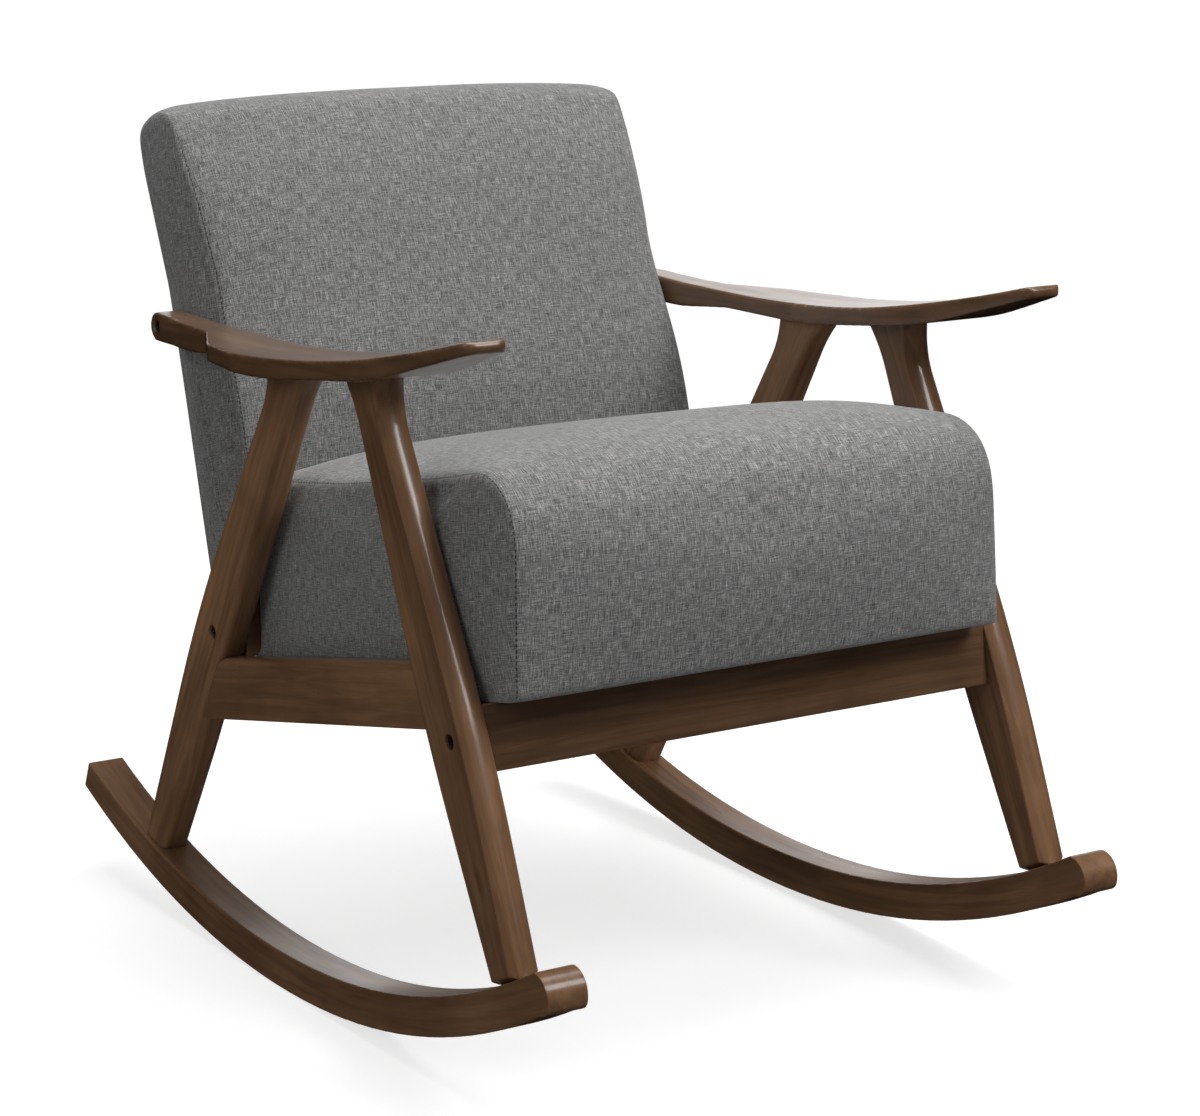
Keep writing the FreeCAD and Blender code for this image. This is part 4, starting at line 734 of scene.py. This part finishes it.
def rear_panel():
    """Upholstered board that closes the back from behind, its edges turned in."""
    half, low, high, corner, steps = 0.260, 0.0, 0.4945, 0.010, 48
    made = bmesh.new()
    weave = made.loops.layers.uv.new("weave")
    seam = made.loops.layers.uv.new("seam")
    verts = []
    for i in range(steps + 1):
        row = []
        for j in range(steps + 1):
            a, b = i / steps * 2 - 1, j / steps * 2 - 1
            x, w = eased(a) * half, (low + high) / 2 + eased(b) * (high - low) / 2
            across, up = abs(x) - (half - corner), w - (high - corner)
            if across > 0 and up > 0:
                pull = max(across, up) / math.hypot(across, up)
                x, w = math.copysign(half - corner + across * pull, x), high - corner + up * pull
            rim = min(half - abs(x), high - w, w - low)
            if across > 0 and up > 0:
                rim = min(rim, corner - math.hypot(abs(x) - half + corner, w - high + corner))
            rim = max(rim, 0.0)
            rise = PANEL_RISE * (1 - math.exp(-(rim / PANEL_TURN) ** 1.2))
            row.append((made.verts.new((x, PANEL_REAR + rise, w)), rim))
        verts.append(row)
    for i in range(steps):
        for j in range(steps):
            corners = [verts[i][j], verts[i][j + 1], verts[i + 1][j + 1], verts[i + 1][j]]
            face = made.faces.new([vert for vert, _ in corners])
            face.smooth = True
            for loop, (vert, rim) in zip(face.loops, corners):
                loop[weave].uv = (vert.co.x, vert.co.z + REAR_WEAVE)
                loop[seam].uv = (min(abs(rim - PANEL_STITCHES) + STITCH_OFFSET, NO_SEAM),
                                 vert.co.x + vert.co.z)
    bmesh.ops.recalc_face_normals(made, faces=made.faces)
    data = bpy.data.meshes.new("rear_cover")
    made.to_mesh(data)
    made.free()
    piece = bpy.data.objects.new("rear_cover", data)
    bpy.context.scene.collection.objects.link(piece)
    if data.polygons[0].normal.y < 0:
        data.flip_normals()
    data.materials.append(linen_painted_shade)
    data.transform(BACK)
    thick = piece.modifiers.new("cloth", "SOLIDIFY")
    thick.thickness = PANEL_THICKNESS
    thick.offset = -1.0
    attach(piece, "root")
    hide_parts("back_panel")


rear_panel()


# ----------------------------------------------------------------------------- armrests
ARM_VOXEL = 0.0018
ARM_ROUNDS = 7


def softened(name, node):
    """A shaped wooden piece with hand-rounded edges: the node's solid, remeshed and eased."""
    source = nodes[node]
    data = source.data.copy()
    data.name = name
    made = bpy.data.objects.new(name, data)
    bpy.context.scene.collection.objects.link(made)
    remesh = made.modifiers.new("even", "REMESH")
    remesh.mode = "VOXEL"
    remesh.voxel_size = ARM_VOXEL
    remesh.use_smooth_shade = True
    ease = made.modifiers.new("ease", "SMOOTH")
    ease.factor = 0.5
    ease.iterations = ARM_ROUNDS
    graph = bpy.context.evaluated_depsgraph_get()
    final = bpy.data.meshes.new_from_object(made.evaluated_get(graph))
    made.modifiers.clear()
    made.data = final
    final.materials.clear()
    final.materials.append(source.data.materials[0])
    for face in final.polygons:
        face.use_smooth = True
        face.material_index = 0
    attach(made, "root")
    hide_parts(node)


for arm_side in ("left", "right"):
    softened("arm_" + arm_side, "armrest_" + arm_side)


# ----------------------------------------------------------------------------- studio
def glowing(name, strength):
    """Even white glow for the surroundings."""
    mat = new_material(name)
    t = Tree(mat)
    clouds = t.noise((t.add("ShaderNodeTexCoord"), 3), 0.5, 1)
    t.feed(t.shader, "Base Color", t.ramp(clouds, (0.3, 0.8), (0.7, 0.82)))
    t.shader.inputs["Roughness"].default_value = 1.0
    t.shader.inputs["Specular IOR Level"].default_value = 0.0
    t.shader.inputs["Emission Color"].default_value = (1, 1, 1, 1)
    t.shader.inputs["Emission Strength"].default_value = strength
    return mat


def stage_piece(name, build, mat):
    """A piece of the stage, its mesh made by build."""
    data = bpy.data.meshes.new(name)
    made = bmesh.new()
    build(made)
    made.to_mesh(data)
    made.free()
    for face in data.polygons:
        face.use_smooth = True
    data.materials.append(mat)
    piece = bpy.data.objects.new(name, data)
    bpy.context.scene.collection.objects.link(piece)
    return piece


FLOOR_NEAR, FLOOR_FADE = 0.9, 2.6
FLOOR_RADIUS, FLOOR_DROP, DOME_RADIUS, DOME_GLOW = 14.0, -0.0006, 13.0, 1.02


def floor_material():
    """Pale floor, lit by the lamps near the chair and even and white further away."""
    mat = new_material("pale_floor")
    t = Tree(mat)
    split = t.add("ShaderNodeSeparateXYZ")
    t.feed(split, 0, (t.add("ShaderNodeTexCoord"), 3))
    reach = t.math("SQRT", t.math("ADD", t.math("MULTIPLY", (split, 0), (split, 0)),
                                  t.math("MULTIPLY", (split, 1), (split, 1))))
    far = t.math("DIVIDE", t.math("SUBTRACT", reach, FLOOR_NEAR), FLOOR_FADE, clamp=True)
    t.feed(t.shader, "Base Color", t.mix(far, (0.46, 0.46, 0.46), (0.0, 0.0, 0.0)))
    t.shader.inputs["Roughness"].default_value = 1.0
    t.shader.inputs["Specular IOR Level"].default_value = 0.0
    t.shader.inputs["Emission Color"].default_value = (1, 1, 1, 1)
    t.feed(t.shader, "Emission Strength", t.math("ADD", t.math("MULTIPLY", far, 0.32), 0.7))
    return mat


def studio():
    """Pale floor and surroundings."""
    floor = stage_piece("studio_floor", lambda m: bmesh.ops.create_circle(
        m, cap_ends=True, segments=64, radius=FLOOR_RADIUS, matrix=Matrix.Translation((0, 0, FLOOR_DROP))),
        floor_material())
    dome = stage_piece("studio_dome", lambda m: bmesh.ops.create_uvsphere(
        m, u_segments=48, v_segments=24, radius=DOME_RADIUS),
        glowing("pale_surroundings", DOME_GLOW))
    for piece in (floor, dome):
        piece.visible_diffuse = False
        piece.visible_glossy = False
        piece.visible_shadow = False
        piece.visible_transmission = False


studio()


def area_light(name, place, target, size, power):
    """Soft rectangular lamp, hidden from the camera and turned to its target."""
    data = bpy.data.lights.new(name, "AREA")
    data.shape = "RECTANGLE"
    data.size, data.size_y = size
    data.energy = power
    made = bpy.data.objects.new(name, data)
    made.location = place
    made.rotation_mode = "QUATERNION"
    made.rotation_quaternion = (Vector(target) - Vector(place)).to_track_quat("-Z", "Y")
    made.visible_camera = False
    bpy.context.scene.collection.objects.link(made)


area_light("key", (1.4, -2.6, 2.8), (0, 0, 0.4), (1.3, 1.3), 62)
area_light("top", (0.3, -0.1, 3.2), (0, 0, 0.4), (2.4, 2.4), 88)
area_light("fill", (-3.3, -1.0, 2.2), (0, 0, 0.4), (1.4, 1.4), 20)
area_light("rear", (2.4, 3.6, 1.1), (0, 0, 0.6), (5.0, 1.8), 36)
world = bpy.data.worlds.new("studio_world")
world.use_nodes = True
world.node_tree.nodes["Background"].inputs[0].default_value = (1, 1, 1, 1)
world.node_tree.nodes["Background"].inputs[1].default_value = 0.28
world.cycles_visibility.glossy = False
bpy.context.scene.world = world
bpy.context.scene.view_settings.view_transform = "Standard"


# ----------------------------------------------------------------------------- camera
CAMERA_PLACE = (-1.7211, -2.7329, 1.1203)
CAMERA_LENS = 100.33
CAMERA_SHIFT = -0.06
azimuth, elevation = math.radians(-32.794), math.radians(11.475)
behind = Vector((math.sin(azimuth) * math.cos(elevation), -math.cos(azimuth) * math.cos(elevation),
                 math.sin(elevation)))
rightward = Vector((math.cos(azimuth), math.sin(azimuth), 0.0))
camera_data = bpy.data.cameras.new("camera")
camera_data.sensor_width = 36.0
camera_data.lens = CAMERA_LENS
camera_data.shift_y = CAMERA_SHIFT
camera = bpy.data.objects.new("camera", camera_data)
turn = Matrix((rightward, behind.cross(rightward), behind)).transposed()
camera.matrix_world = Matrix.Translation(CAMERA_PLACE) @ turn.to_4x4()
bpy.context.scene.collection.objects.link(camera)
bpy.context.scene.camera = camera
